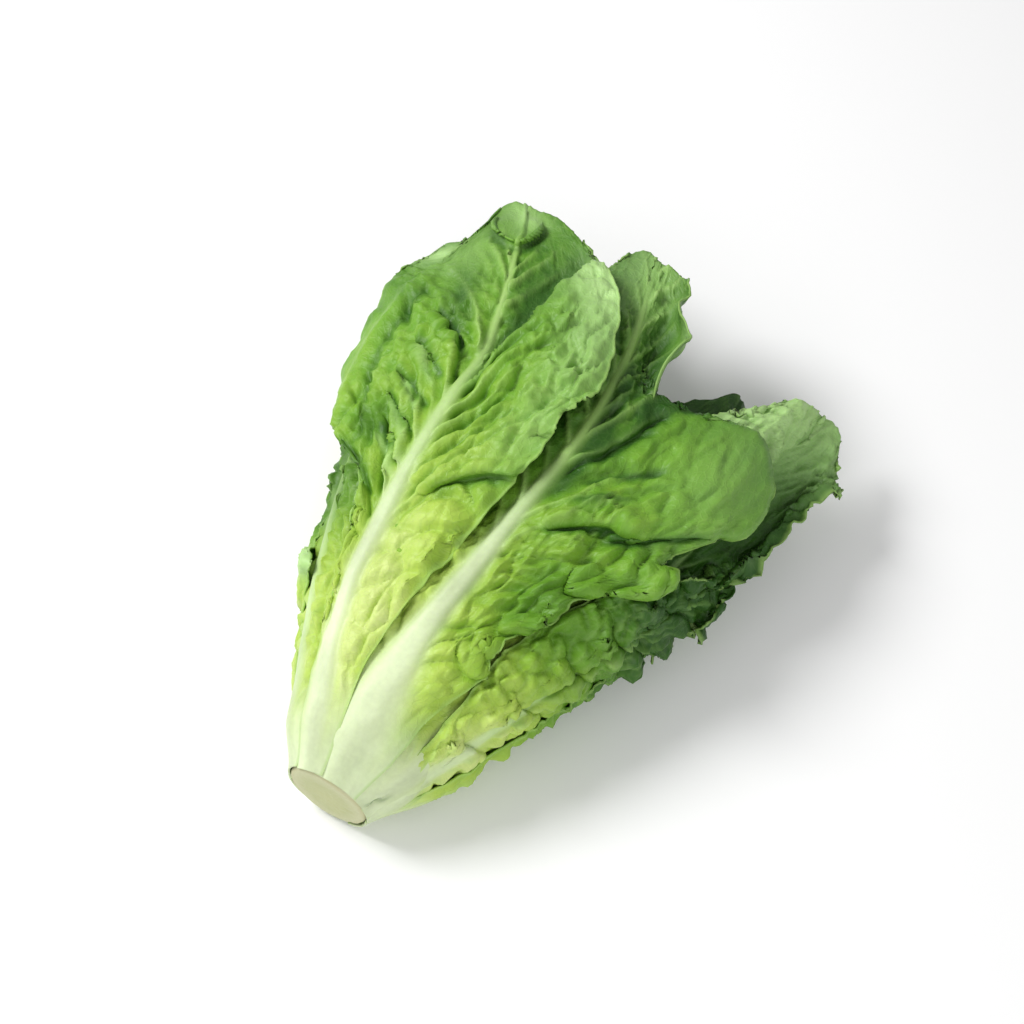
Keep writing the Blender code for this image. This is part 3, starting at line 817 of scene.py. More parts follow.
def ramp(tree, value, stops):
    """A colour ramp through (place, colour) stops."""
    made = node(tree, "ShaderNodeValToRGB")
    while len(made.color_ramp.elements) < len(stops):
        made.color_ramp.elements.new(1.0)
    for element, (at, colour) in zip(made.color_ramp.elements, stops):
        element.position = at
        element.color = (*colour, 1.0)
    tree.links.new(value, made.inputs[0])
    return made.outputs[0]


def noise(tree, place, scale, detail=3.0, stretch=None):
    """Soft random patches, which may be stretched along or across the leaf."""
    if stretch:
        mapping = node(tree, "ShaderNodeMapping")
        mapping.inputs["Scale"].default_value = (*stretch, 1.0)
        tree.links.new(place, mapping.inputs["Vector"])
        place = mapping.outputs[0]
    return node(tree, "ShaderNodeTexNoise", Scale=scale, Detail=detail, Vector=place).outputs["Fac"]


def rough_and_bumpy(tree, shader, rough, bumps, strength, distance):
    """Sets how the skin shines, and its fine grain."""
    tree.links.new(rough, shader.inputs["Roughness"])
    bump = node(tree, "ShaderNodeBump", Strength=strength, Distance=distance, Height=bumps)
    tree.links.new(bump.outputs[0], shader.inputs["Normal"])


print("node helpers are ready")

# %% Leaf finish
WHITE_RIB = (0.55, 0.63, 0.40)
VEIN_GREEN = (0.36, 0.57, 0.15)
PAINTED_HIGHLIGHT_COLOUR = (0.42, 0.65, 0.24)
VALLEY_SHADE = (0.42, 0.60, 0.30)
SUNK_SHADE = (0.62, 0.74, 0.40)
PAINTED_SHADE_COLOUR = (0.40, 0.50, 0.38)


def bent(tree, place):
    """The place, bent a little, so that the net of small veins isn't straight."""
    wander = node(tree, "ShaderNodeTexNoise", Scale=150.0, Vector=place)
    small = node(tree, "ShaderNodeVectorMath", operation="SCALE", Scale=0.0024)
    tree.links.new(wander.outputs["Color"], small.inputs[0])
    made = node(tree, "ShaderNodeVectorMath", operation="ADD")
    tree.links.new(place, made.inputs[0])
    tree.links.new(small.outputs[0], made.inputs[1])
    return made.outputs[0]


def leaf_finish(name, stops, vein_colour):
    """A leaf's skin. The stops are its colours from the base out, before ribs and veins go on."""
    made, tree, shader = new_material(name)
    place = node(tree, "ShaderNodeAttribute", attribute_name="leaf_place").outputs["Vector"]
    length, out, rib, vein, sunk, dark = (
        reading(tree, key) for key in ("length", "out", "rib", "vein", "relief", "dark")
    )
    # Painted shade and sunk relief push the colour towards deeper green, and gold makes it yellower.
    age = added(
        tree, (length, 0.80), (out, 0.26), (noise(tree, place, 38.0, 4.0), 0.34),
        (noise(tree, place, 105.0), 0.30), (sunk, -0.06), (dark, 0.5), (reading(tree, "gold"), -0.5),
        start=-0.32, clamp=True,
    )
    colour = ramp(tree, age, stops)

    net = node(tree, "ShaderNodeTexVoronoi", feature="DISTANCE_TO_EDGE", Scale=330.0)
    tree.links.new(bent(tree, place), net.inputs["Vector"])
    line = remapped(tree, net.outputs["Distance"], 0.0, 0.12, 1.0, 0.0)
    not_rib = added(tree, (rib, -1.0), start=1.0, clamp=True)
    colour = blended(tree, added(tree, (line, added(tree, (not_rib, 0.07)))), colour, vein_colour)
    # Painted shade in the valleys beside the rib.
    colour = blended(tree, added(tree, (reading(tree, "shade"), 0.85)), colour, VALLEY_SHADE, "MULTIPLY")
    colour = blended(tree, added(tree, (vein, 0.85), clamp=True), colour, vein_colour)

    streaks = noise(tree, place, 1.0, stretch=(22.0, 620.0))
    rib_tone = blended(tree, streaks, WHITE_RIB, tuple(0.94 * c for c in WHITE_RIB))
    cream = remapped(tree, noise(tree, place, 1.0, stretch=(24.0, 60.0)), 0.42, 0.62)
    rib_tone = blended(tree, cream, rib_tone, tuple(min(0.86, 1.22 * c + 0.03) for c in WHITE_RIB))
    rib_tone = blended(tree, reading(tree, "whiteness"), vein_colour, rib_tone)
    pale = greater(tree, rib, remapped(tree, length, 0.02, 0.13, 1.0, 0.0))
    not_pale = added(tree, (pale, -1.0), start=1.0, clamp=True)
    colour = blended(tree, added(tree, (pale, 0.93)), colour, rib_tone)

    # Painted shade: the colour darkens where the relief sinks.
    colour = blended(tree, added(tree, (sunk, -0.30), clamp=True), colour, SUNK_SHADE, "MULTIPLY")
    # Painted highlight: paler green where the touches and lines paint light.
    colour = blended(tree, added(tree, (reading(tree, "highlight_paint"), 1.0), clamp=True), colour, PAINTED_HIGHLIGHT_COLOUR)
    # Painted shade: darker where the touches and lines paint shade.
    colour = blended(tree, added(tree, (dark, 0.8), clamp=True), colour, PAINTED_SHADE_COLOUR, "MULTIPLY")
    colour = blended(tree, remapped(tree, reading(tree, "edge"), 0.03, 0.08, 0.45, 0.0), colour, vein_colour)
    flecks = remapped(tree, noise(tree, place, 420.0, 2.0), 0.30, 0.80, 0.95, 1.04)
    tint = node(tree, "ShaderNodeVectorMath", operation="SCALE", Scale=flecks)
    tree.links.new(colour, tint.inputs[0])
    tree.links.new(tint.outputs[0], shader.inputs["Base Color"])

    grain, lumps = noise(tree, place, 900.0, 2.0), noise(tree, place, 240.0, 2.0)
    bumps = added(
        tree, (added(tree, (line, 0.4), (grain, 0.15), (lumps, 2.2)), not_pale),
        (streaks, added(tree, (pale, 0.35))),
    )
    rough = remapped(tree, noise(tree, place, 160.0), 0.3, 0.7, 0.40, 0.56)
    rough_and_bumpy(tree, shader, rough, bumps, 0.55, 0.0004)
    shader.inputs["Subsurface Weight"].default_value = 0.08
    shader.inputs["Subsurface Radius"].default_value = (0.7, 1.0, 0.25)
    shader.inputs["Subsurface Scale"].default_value = 0.0022
    shader.inputs["Specular IOR Level"].default_value = 0.30
    return made


outer_finish = leaf_finish(
    "outer leaf",
    ((0.00, (0.58, 0.70, 0.22)), (0.20, (0.43, 0.60, 0.09)), (0.42, (0.27, 0.46, 0.042)),
     (0.66, (0.15, 0.345, 0.022)), (1.00, (0.05, 0.165, 0.012))),
    VEIN_GREEN,
)
middle_finish = leaf_finish(
    "middle leaf",
    ((0.00, (0.66, 0.72, 0.34)), (0.25, (0.50, 0.63, 0.14)), (0.55, (0.28, 0.46, 0.05)),
     (0.85, (0.11, 0.28, 0.02)), (1.00, (0.05, 0.16, 0.012))),
    VEIN_GREEN,
)
heart_finish = leaf_finish(
    "heart leaf",
    ((0.00, (0.76, 0.76, 0.42)), (0.4, (0.70, 0.73, 0.26)), (1.00, (0.52, 0.63, 0.14))),
    (0.68, 0.74, 0.36),
)
print("leaf finishes:", [m.name for m in (outer_finish, middle_finish, heart_finish)])

# %% [markdown]
# ## The two leaves on top
#
# These two make the head's face. The left one is seen from its back, with the rib as a pale spine and
# its right margin turned out over the next leaf. The middle one has the broadest base and carries a
# large sheet that drapes to the right. Both have free edges, and dark lines are painted under those,
# where little light gets in.

# %% The left leaf on top
OUTER_LEVEL = 0.97  # the level of the outer leaves' bases


def make_outer_leaf(name, **more):
    make_leaf(name, outer_finish, "outer_leaf", join=OUTER_LEVEL, **more)


def form_top_left(sheet):
    """The tip folds over, the right lobe turns out above a deep fold, and the left side bends down."""
    outline(
        sheet,
        tip=((-1, -1), (-.84, -6), (-.7, -6), (-.56, 5), (-.42, 18), (-.2, 22), (0, 21), (.25, 19),
             (.5, 18), (.75, 14), (1, 9)),
        left=((.36, 0), (.42, -4), (.44, 1), (.46, 9), (.5, 7), (.55, 6), (.7, 5), (.8, 4), (.92, 5),
              (1, 3)),
        right=((.42, 0), (.5, 2), (.6, 0), (.8, 0), (.9, 1), (.95, 3), (1, 0)),
    )
    fold = [(.62, .05), (.72, .12), (.8, .28), (.87, .52), (.93, .8), (.96, 1)]
    height = step(sheet, fold, 24, 6)
    height += crease(sheet, [(u, v - .1) for u, v in fold], 6, -4)
    height += crease(sheet, [(.48, -.8), (.58, -.74), (.74, -.72), (.9, -.64)], 4.5, 3)
    height += crease(sheet, [(.46, -.58), (.58, -.6), (.72, -.62), (.88, -.6)], 4, -1.8)
    for a, b in ((.47, .56), (.535, .595), (.59, .645), (.65, .71), (.72, .78)):
        height += crease(sheet, [(a, -.08), (.5 * (a + b), -.26), (b, -.46)], 2.1, -2.2)
        height += crease(sheet, [(a - .022, -.1), (.5 * (a + b) - .018, -.28), (b - .014, -.44)], 1.6, 1.1)
    height += dent(sheet, .72, .72, 30, 18, 3.4)
    height += crease(sheet, [(.62, .5), (.74, .55), (.86, .74)], 7, -2)
    height += dent(sheet, 1, -.85, 24, 16, 1.8)
    sheet.raise_by(height)
    lap(sheet, [(.5, 1), (.495, .75), (.465, .45), (.435, .22)], 16, 5, 4, (.001, .3))
    lap(sheet, [(.985, .36), (.95, .24), (.922, .02), (.928, -.22), (.975, -.42)], 14, 4, 5)
    roll_margin(sheet, 1, (.49, .97), .9, 14, 45)
    roll_margin(sheet, -1, (.42, .9), .84, -30, 36)


make_outer_leaf(
    "outer_leaf_top_left", grid=(200, 186), salt=1, forms=form_top_left,
    rib=(11, 5.2, 5.3, 3.6, 2.1, .8), whiteness=(1, 1, .8, .3, .1, 0),
    keel=(1.8, 3.4, 3.4, 2.4, 1.4, 0),
    puff=(0, 4, 4.8, 2, 1.8, .6), wrinkle=(0, .4, .8, 1.1, 1.1, .2),
    valley=(0, 0, 2.2, 4.6, 4.4, .8), lean=1.4, gap=15, reach=15, vein=1.4,
    loose=(1, 1, 1, .7, .6, .7), first=.3, frill=(0, 1, 1.4, .7, .7, .6),
    calm=(
        (.84, .24, 26, 10, .8), (.96, .62, 12, 14, .8), (.965, 0, 16, 20, 1), (.91, -.8, 16, 14, -1),
        (.97, -.42, 20, 12, 1), (.58, -.9, 40, 14, .8), (.8, -.9, 50, 14, .8), (.56, .94, 40, 6, .6),
        (.76, .62, 45, 20, -1.3), (.7, -.35, 40, 12, -.3),
    ),
    # Painted shade in the folds and hollows, painted highlights on the lit rims and corners, and yellower
    # patches.
    touches=(
        (PAINTED_SHADE, .83, .22, 28, 10, .5), (PAINTED_SHADE, .9, .4, 20, 12, .3),
        (PAINTED_HIGHLIGHT, .9, .92, 22, 17, 1), (PAINTED_HIGHLIGHT, .8, .85, 35, 16, .5), (PAINTED_HIGHLIGHT, .6, .85, 30, 14, .3),
        (PAINTED_HIGHLIGHT, .975, 0, 12, 14, .7), (PAINTED_HIGHLIGHT, .955, -.84, 16, 14, .9),
        (PAINTED_HIGHLIGHT, .9, -.5, 22, 20, .3),
        (GOLD, .32, .6, 45, 26, .5), (GOLD, .18, .6, 30, 20, .3), (GOLD, .62, -.8, 50, 10, .35),
        (PAINTED_SHADE, .815, -.29, 20, 8, .6), (PAINTED_SHADE, .53, -.47, 16, 9, .6),
    ),
    # Painted shade along the creases and under the free edges, and painted highlights along the ridges
    # beside them.
    lines=(
        (PAINTED_SHADE, 5, .55, [(.6, .06), (.72, .08), (.8, .22), (.87, .44), (.93, .72), (.95, .9)]),
        (PAINTED_SHADE, 4, .7, [(.44, .35), (.465, .5), (.485, .75), (.49, 1)]),
        (PAINTED_SHADE, 3.4, .45, [(.46, -.58), (.58, -.6), (.72, -.62), (.86, -.6)]),
        *((PAINTED_SHADE, 1.7, .7, [(a, -.1), (a + .035, -.26), (a + .065, -.42)])
          for a in (.47, .53, .585, .65, .72)),
        *((PAINTED_HIGHLIGHT, 1.4, .5, [(a, -.12), (a + .04, -.28), (a + .07, -.42)])
          for a in (.448, .513, .568, .628)),
        (PAINTED_SHADE, 4, .7, [(.4, -.5), (.44, -.75), (.45, -1)]),
        (PAINTED_SHADE, 1.8, .6, [(.975, .36), (.94, .26), (.912, .02), (.918, -.22), (.96, -.4)]),
        (PAINTED_HIGHLIGHT, 1.2, .6, [(.72, .1), (.8, .24), (.87, .46), (.92, .7)]),
    ),
)


# %% The middle leaf on top
def form_top_centre(sheet):
    """The rim of the big sheet rolls under, long creases cross it, and the tip lobe is cupped."""
    outline(
        sheet,
        tip=((-1, 6), (-.5, 6), (0, 2), (.5, 2), (1, 2)),
        right=((.1, 0), (.2, 4), (.25, -4), (.31, 4), (.355, -5), (.39, 2), (.42, 13), (.455, -5),
               (.5, -6), (.57, 4), (.68, 4), (.76, 0), (.8, 2), (.825, 5), (.85, 6), (.88, 8), (.93, -9),
               (.97, 1), (1, 2)),
    )
    height = crease(sheet, [(.56, .14), (.6, .3), (.63, .5)], 4, -2.6)
    height += crease(sheet, [(.6, .1), (.655, .22), (.7, .36), (.725, .52)], 5, -4)
    height += crease(sheet, [(.36, -.25), (.5, -.32), (.68, -.35), (.88, -.4)], 12, -6.5)
    height += dent(sheet, .85, .42, 24, 7, -7)
    height += dent(sheet, .42, .92, 8, 14, 5)
    height += dent(sheet, .6, .66, 24, 22, 3)
    sheet.raise_by(height)
    for path in (
        [(.505, .72), (.505, .55), (.5, .4), (.482, .28), (.468, .16)],
        [(.54, .94), (.514, .8), (.49, .66), (.478, .5)],
    ):
        lap(sheet, path, 13, 3.6, 3)
    for path in (
        [(.205, 1), (.2, .85), (.215, .7), (.245, .52)],
        [(.28, 1), (.27, .85), (.29, .68), (.33, .5)],
        [(.37, 1), (.365, .85), (.385, .68), (.42, .5)],
    ):
        lap(sheet, path, 14, 3.4, 3.6, (.15, .35))
    roll_margin(sheet, 1, (.47, .77), .92, -6, 85)
    roll_margin(sheet, 1, (.8, 1.08), .62, 11, 55)


make_outer_leaf(
    "outer_leaf_top_centre", grid=(214, 196), salt=2, forms=form_top_centre,
    rib=(22, 8.2, 4.8, 3.2, 2.3, .8), whiteness=(1, .98, .85, .12, 0, .1), first=.34, net=1.5,
    keel=(1.6, 3.4, 3.6, 2.8, 1.6, .5),
    puff=(0, 3, 3, 1.1, .9, .8),
    calm=((.62, .92, 40, 10, .85), (.5, .92, 20, 12, .6), (.97, -.5, 20, 12, .7),
          (.6, .48, 50, 24, -.9)),
    valley=(0, 0, 1.4, 3.4, 2.4, 1), reach=12, vein=1.2,
    loose=(1, 1, 1, .6, .5, .5), wrinkle=(0, 1, 1.4, 1.6, 1, .5),
    gap=17, cell=14, frill=(0, 2.2, 3, .8, 1.2, 1), notch=1.6,
    still=-1, young=-.26,
    # Painted shade beside the rib, under the next leaf's margin and in the hollow under the big sheet,
    # painted highlights on the sheet, tip and rim, and yellower patches.
    touches=((PAINTED_HIGHLIGHT, .62, .75, 30, 30, .2), (PAINTED_SHADE, .62, -.35, 60, 16, .9),
             (PAINTED_SHADE, .8, -.25, 50, 12, .6), (PAINTED_SHADE, .84, .42, 22, 10, .7),
             (PAINTED_SHADE, .72, .12, 50, 12, .35), (GOLD, .34, -.4, 40, 20, .5),
             (GOLD, .16, .7, 25, 30, .25), (PAINTED_SHADE, .34, .75, 30, 20, .4),
             (PAINTED_HIGHLIGHT, .96, -.2, 30, 22, .45), (GOLD, .9, 0, 50, 40, .4), (PAINTED_HIGHLIGHT, .885, .85, 15, 8, .5),
             (PAINTED_SHADE, .8, .95, 12, 12, 1.8), (PAINTED_SHADE, .765, .75, 8, 16, 1.2)),
    # Painted shade under the sheet's free edges, along its creases and along the hollow under its rim.
    lines=(
        (PAINTED_SHADE, 2.8, .9, [(.458, .18), (.474, .28), (.492, .42), (.497, .7)]),
        (PAINTED_SHADE, 2.8, .9, [(.468, .5), (.482, .66), (.506, .8), (.53, .92)]),
        (PAINTED_SHADE, 2.2, .6, [(.56, .14), (.6, .3), (.63, .5)]),
        (PAINTED_SHADE, 2.2, .5, [(.52, .16), (.545, .3), (.56, .44)]),
        (PAINTED_SHADE, 4, .7, [(.5, .08), (.6, .09), (.7, .1), (.8, .12)]),
        (PAINTED_SHADE, 5, .9, [(.6, .1), (.655, .22), (.7, .36), (.725, .52)]),
        (PAINTED_SHADE, 5, 1.5, [(.7, .2), (.725, .4), (.742, .6), (.752, .8), (.78, 1)]),
    ),
)

# %% [markdown]
# ## The leaves at the sides and underneath
#
# They use the same builder with other numbers: darker and more crinkled at the lower right, where the
# margin breaks into lobes with free edges, yellow and puffy at the left, and nearly plain underneath,
# where the head's weight presses them smooth.

# %% Side leaves
CRINKLED, NONE = (1,) * 6, (0,) * 6  # puffs in no rows, and no valleys beside the rib


def form_right(sheet):
    """The tip stands out past the big sheet, and its lower margin turns out and wrinkles."""
    outline(
        sheet, tip=((-1, 0), (-.1, 0), (.3, 2), (.6, 6), (.8, 7), (1, 5)),
        right=((.5, 0), (.62, 3), (.8, 4), (.92, 4), (1, 2)),
    )
    height = dent(sheet, .78, .35, 30, 12, -5)
    height += crease(sheet, [(.014, -.1), (.026, .22)], 1.1, -2.2)
    height += crease(sheet, [(.55, -.02), (.75, 0), (.95, 0)], 4, -1.5)
    sheet.raise_by(height)
    roll_margin(sheet, 1, (.5, .9), .66, 12, 65)


make_outer_leaf(
    "outer_leaf_right", grid=(150, 130), salt=3, forms=form_right, young=.06,
    rib=(10, 6, 3.5, 2.2, 1.4, .8), whiteness=(1, .8, .5, .2, .1, .2),
    calm=((.76, .85, 60, 12, -1.5), (.56, .9, 30, 12, -1.5), (.9, -.4, 30, 20, -.8)),
    puff=(0, 1.4, 1.6, 1.4, 1.4, 1), wrinkle=(0, .6, 1, 1.4, 1.4, 1),
    frill=(0, 1, 1.6, 2, 2, 1), notch=1.6,
    # Painted shade in the hollow and on the lower half, and a painted highlight on the top.
    touches=((PAINTED_SHADE, .8, .5, 50, 20, .9), (PAINTED_SHADE, .62, .5, 50, 30, 1.4),
             (PAINTED_SHADE, .7, -.2, 30, 12, .5), (PAINTED_HIGHLIGHT, .92, -.5, 40, 34, 1.7),
             (PAINTED_SHADE, .585, .4, 30, 28, 2.6), (PAINTED_SHADE, .6, .12, 16, 22, 1.6)),
    # Painted shade in the crack between leaves near the base.
    lines=((PAINTED_SHADE, 1, 1.6, [(.012, -.12), (.028, .24)]),),
)


def form_lower_right(sheet):
    """Its lower margin breaks into lobes that hang over one another."""
    outline(
        sheet,
        left=((.2, 0), (.5, 3), (.8, 3), (1, 0)),
        right=((.1, 0), (.2, 4), (.28, 2), (.36, 7), (.44, 4), (.52, 9), (.58, 10), (.63, 4), (.68, 3),
               (.75, 13), (.8, 8), (.86, 9), (1, 5)),
    )
    height = crease(sheet, [(.25, .35), (.5, .42), (.8, .4)], 6, -3)
    height += dent(sheet, .92, -.75, 20, 20, -5)
    height += dent(sheet, .08, .6, 20, 14, 1.2)
    sheet.raise_by(height + crease(sheet, [(.018, -.85), (.036, -.7)], 1.1, -2.2))
    for at, end in ((.22, .5), (.36, .4), (.5, .001), (.63, .001), (.77, .001)):
        path = [(at + .03, -.75), (at, -.35), (at + .02, .1), (at + .05, .55), (at + .06, 1)]
        lap(sheet, path, 12, 3, 3.4, (.3, end))


make_outer_leaf(
    "outer_leaf_lower_right", grid=(150, 146), salt=4,
    forms=form_lower_right, young=.04, still=-1, calm=((.25, .78, 70, 14, .9),),
    whiteness=(1, .7, .2, 0, 0, 0), loose=CRINKLED, notch=2,
    rib=(10, 4.5, 1.8, 1, .8, .6),
    keel=(1.2, 1, .2, 0, 0, 0),
    puff=(0, 2.6, 2.8, 2.8, 2.6, 2), gap=11, cell=11, tilt=1.9, net=1.4,
    wrinkle=(0, 1.2, 1.6, 1.8, 1.7, 1.2), valley=NONE,
    frill=(0, .5, 1, 3.2, 3, 2), frill_length=26,
    # Painted shade in the hollow at the tip and on parts of the blade, and a yellower patch.
    touches=((PAINTED_SHADE, .88, .2, 40, 50, .9), (PAINTED_SHADE, .72, .7, 40, 30, .5), (GOLD, .25, .2, 40, 50, .3),
             (PAINTED_SHADE, .6, -.2, 35, 32, .16), (PAINTED_SHADE, .48, .1, 18, 30, .2),
             (PAINTED_SHADE, .92, -.75, 28, 30, 2.2)),
    # Painted shade in the crack between leaves near the base.
    lines=((PAINTED_SHADE, 1, 1.6, [(.016, -.86), (.038, -.68)]),),
)


def form_under_right(sheet):
    """It swells a little just above the stem, and lies closer under the next leaf's margin."""
    height = dent(sheet, .09, -.4, 35, 26, 1)
    sheet.raise_by(height + crease(sheet, [(.2, -.4), (.48, -.28)], 14, -2.8))


make_outer_leaf(
    "outer_leaf_under_right", grid=(150, 110), salt=5, young=.18,
    forms=form_under_right, still=-1,
    calm=((.22, 1, 60, 10, .85),),
    whiteness=(1, .6, .3, .1, .1, .1), loose=CRINKLED,
    rib=(12, 6, 3, 1.6, 1.2, .8),
    puff=(0, 2.4, 3.4, 3.6, 3, 1.6), gap=12, cell=12, tilt=.9,
    wrinkle=(0, .6, 1, 1.2, 1.2, 1), valley=NONE,
    frill=(0, .5, 1, 2.8, 3, 2), frill_length=26, notch=1.8,
    # Painted shade on the lower blade.
    touches=((PAINTED_SHADE, .6, -.5, 45, 50, .8),),
)
make_outer_leaf(
    "outer_leaf_left", grid=(150, 100), salt=6, young=.1,
    whiteness=(1, .6, .3, .1, .1, .1), loose=CRINKLED, valley=NONE,
    rib=(10, 5, 3, 2, 1.5, 1), notch=2,
    puff=(0, 2.8, 3.4, 2.6, 1.4, .8), gap=14, tilt=.8,
    wrinkle=(0, .8, 1, 1, .8, .6),
    # Painted shade on the middle of the blade and low on the left side.
    touches=((PAINTED_SHADE, .54, 0, 35, 50, .7), (PAINTED_SHADE, .46, -.7, 20, 30, .7)),
)


def form_under_left(sheet):
    """One pale lobe of its margin stands out at the left and lies over the next leaf."""
    outline(sheet, right=((.31, 0), (.345, 3), (.368, 10), (.385, 6), (.41, 1), (.44, 0), (1, 0)))
    sheet.raise_by(dent(sheet, .372, 1, 12, 26, 2.4))


make_outer_leaf(
    "outer_leaf_under_left", grid=(160, 100), salt=7, young=.32,
    forms=form_under_left,
    # Painted shade near the right margin and a painted highlight on the lobe that stands out.
    still=1, touches=((PAINTED_SHADE, .5, .9, 18, 16, .8), (PAINTED_HIGHLIGHT, .376, .95, 9, 20, 1.4)),
    rib=(10, 6, 4, 3, 2, 1),
    puff=(0, 2, 2.4, 1.8, 1.2, .6), notch=2,
)
make_outer_leaf(
    "outer_leaf_under", grid=(120, 80), salt=8,
    rib=(12, 8, 5, 3, 2, 1),
)

# %% [markdown]
# ## The leaves inside
#
# The middle leaves show only at tips and edges, and the heart leaves not at all from outside, but a
# cut or an opened head would show them, so each is a real leaf with its own rib and veins. Two of them
# are a little shorter than the rule says, so that they stay below the big leaves, and one shows a tip.

# %% Inner leaves
def form_showing(sheet):
    """The tip that shows between the big leaves stands up on its right."""
    outline(sheet, tip=((-1, -9), (-.6, -5), (-.2, 5), (.2, 4), (1, 0)))


def form_hidden(sheet):
    """A shorter leaf, whose tip stays below the big leaves."""
    outline(sheet, tip=((-1, -18), (1, -18)))


inner_forms = {"middle_leaf_2": form_hidden, "middle_leaf_3": form_showing, "middle_leaf_8": form_hidden}
for n, name in enumerate(inner_names):
    outside = name.startswith("middle")
    make_leaf(
        name, middle_finish if outside else heart_finish, "middle_leaf" if outside else "heart_leaf",
        grid=(70, 58) if outside else (44, 36), salt=10 + n,
        # The three leaves with their own forms get painted shade over the tip, where it lies among the big
        # leaves.
        touches=((PAINTED_SHADE, .95, -.3, 40, 50, 2.2),) if name in inner_forms else (), forms=inner_forms.get(name),
        rib=(8, 5, 3.5, 2.6, 1.8, .8),
        keel=(.4, .8, .8, .6, .4, .2),
        puff=(0, .5, .7, .8, .8, .6),
        wrinkle=(0, .2, .4, .5, .5, .4), vein=.5,
        land=.5, frill=(0, .3, .6, 1, 1.4, 1.2), notch=1,
    )

# %% [markdown]
# ## The cut stem
#
# The stem is cut square with a knife. Its face dries to khaki and browns at the rim, with faint rings
# where the leaf traces run. A profile spun round the stem's axis gives the form, and the face is
# roughened a little, as a knife leaves it.

# %% Stem
STEM_START, STEM_LENGTH, STEM_RADIUS, STEM_STRAIGHT = -0.002, 0.044, 0.0190, 0.012
FACE_RINGS, SIDE_RINGS, STEM_SIDES = 12, 16, 96


def stem_profile():
    """Points (radius, distance) from the middle of the cut face out to the rim and along the side."""
    points = [(k / FACE_RINGS * (STEM_RADIUS - 0.0012), STEM_START) for k in range(FACE_RINGS + 1)]
    points += [(STEM_RADIUS - 0.0006, STEM_START + 0.0003), (STEM_RADIUS, STEM_START + 0.0011)]
    for y in np.linspace(STEM_START + 0.003, 0.042, SIDE_RINGS):
        t = max((y - STEM_STRAIGHT) / (STEM_LENGTH - STEM_STRAIGHT), 0.0)
        points.append((STEM_RADIUS * math.sqrt(max(1 - t**1.6, 0.0)), float(y)))
    return points + [(0, STEM_LENGTH)]


def make_stem():
    build = bmesh.new()
    verts = [build.verts.new((r, y, 0)) for r, y in stem_profile()]
    edges = [build.edges.new(pair) for pair in zip(verts, verts[1:])]
    bmesh.ops.spin(build, geom=verts + edges, cent=(0, 0, 0), axis=(0, 1, 0), angle=2 * math.pi,
                   steps=STEM_SIDES, use_merge=True)
    bmesh.ops.remove_doubles(build, verts=build.verts, dist=1e-6)
    bmesh.ops.recalc_face_normals(build, faces=build.faces)
    piece = mesh_object(build, "stem_core_look")
    mesh = piece.data
    at = np.array([v.co for v in mesh.vertices])
    from_middle = np.hypot(at[:, 0], at[:, 2]) / STEM_RADIUS
    rough = 0.00025 * swell(at[:, 0] / 0.0022, at[:, 2] / 0.0022, 5)
    at[:, 1] += np.where(at[:, 1] < STEM_START + 0.001, rough - 0.0006 * (1 - from_middle**2), 0)
    at[:, 0] += curve(STATIONS, CENTRE_X, at[:, 1])
    at[:, 2] += curve(STATIONS, CENTRE_Z, at[:, 1])
    move_points(mesh, at - ORIGIN)
    paint(mesh, "from_middle", from_middle)
    paint(mesh, "cut_face", at[:, 1] < STEM_START + 0.002)
    print("stem faces:", len(mesh.polygons))
    return piece


def stem_finish():
    made, tree, shader = new_material("cut stem")
    place = node(tree, "ShaderNodeTexCoord").outputs["Object"]
    wander = noise(tree, place, 90.0, 4.0)
    ring = added(tree, (reading(tree, "from_middle"), 1.0), (wander, 0.25), start=-0.125)
    face = ramp(tree, ring, ((0.0, (0.53, 0.56, 0.28)), (0.55, (0.50, 0.54, 0.27)),
                             (0.86, (0.58, 0.60, 0.36)), (0.97, (0.54, 0.53, 0.30)),
                             (1.0, (0.58, 0.58, 0.36))))
    dots = noise(tree, place, 900.0)
    face = blended(tree, added(tree, (dots, 0.35)), face, (0.40, 0.37, 0.20))
    side = blended(tree, noise(tree, place, 60.0), (0.80, 0.82, 0.60), (0.70, 0.76, 0.50))
    colour = blended(tree, reading(tree, "cut_face"), side, face)
    tree.links.new(colour, shader.inputs["Base Color"])
    bumps = noise(tree, place, 500.0, 4.0)
    rough_and_bumpy(tree, shader, remapped(tree, dots, 0.0, 1.0, 0.5, 0.75), bumps, 0.5, 0.0005)
    return made


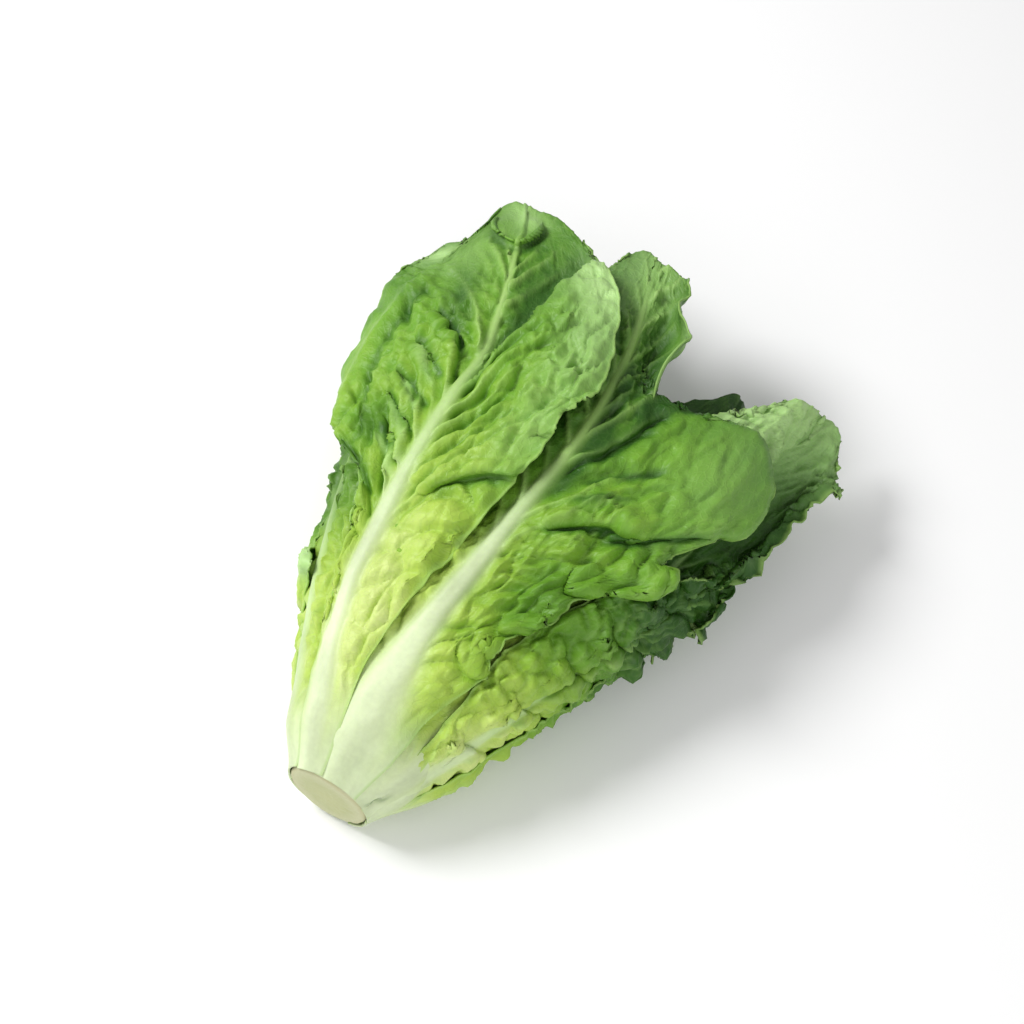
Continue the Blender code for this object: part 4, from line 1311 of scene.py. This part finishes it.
stem = make_stem()
stem.data.materials.append(stem_finish())
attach(stem, "root")
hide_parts("stem_core")

# %% [markdown]
# ## Floor, light and camera
#
# A plain pale floor and big soft lights show the relief without hard shadows. The main light comes
# from the upper left, so veins and puffs cast small shadows to the right.


# %% Studio
def make_floor():
    build = bmesh.new()
    bmesh.ops.create_grid(build, x_segments=1, y_segments=1, size=3.0)
    floor = mesh_object(build, "floor")
    made, _, shader = new_material("pale floor")
    shader.inputs["Base Color"].default_value = (0.94, 0.94, 0.94, 1)
    shader.inputs["Roughness"].default_value = 0.9
    floor.data.materials.append(made)
    return floor


def put(name, thing, place, towards):
    """Puts a light or a camera at a place, looking in a direction."""
    made = bpy.data.objects.new(name, thing)
    made.location = place
    made.rotation_euler = towards.to_track_quat("-Z", "Y").to_euler()
    bpy.context.scene.collection.objects.link(made)
    return made


def soft_light(name, place, size, power):
    lamp = bpy.data.lights.new(name, "AREA")
    lamp.shape = "DISK"
    lamp.size = size
    lamp.energy = power
    put(name, lamp, place, Vector((0.0, 0.0, 0.05)) - Vector(place))


make_floor()
soft_light("main light", (-0.80, -0.12, 0.95), 0.55, 12.4)
soft_light("fill light", (0.7, -0.9, 0.8), 1.2, 6.6)
world = bpy.data.worlds.new("studio")
world.use_nodes = True
background = world.node_tree.nodes["Background"]
background.inputs["Color"].default_value = (1, 1, 1, 1)
background.inputs["Strength"].default_value = 0.46
bpy.context.scene.world = world
bpy.context.scene.view_settings.view_transform = "Standard"
print("lights:", [lamp.name for lamp in bpy.data.lights])


# %% Camera
def make_camera(azimuth, elevation, target, distance, lens):
    turn, rise = math.radians(azimuth), math.radians(elevation)
    back = Vector((math.sin(turn) * math.cos(rise), -math.cos(turn) * math.cos(rise), math.sin(rise)))
    camera = bpy.data.cameras.new("camera")
    camera.lens = lens
    camera.sensor_width = 36
    bpy.context.scene.camera = put("camera", camera, Vector(target) + back * distance, -back)


make_camera(31, 60, (0.0079, -0.0065, 0.0832), 1.03, 85)
print("camera at:", tuple(round(c, 3) for c in bpy.context.scene.camera.location))
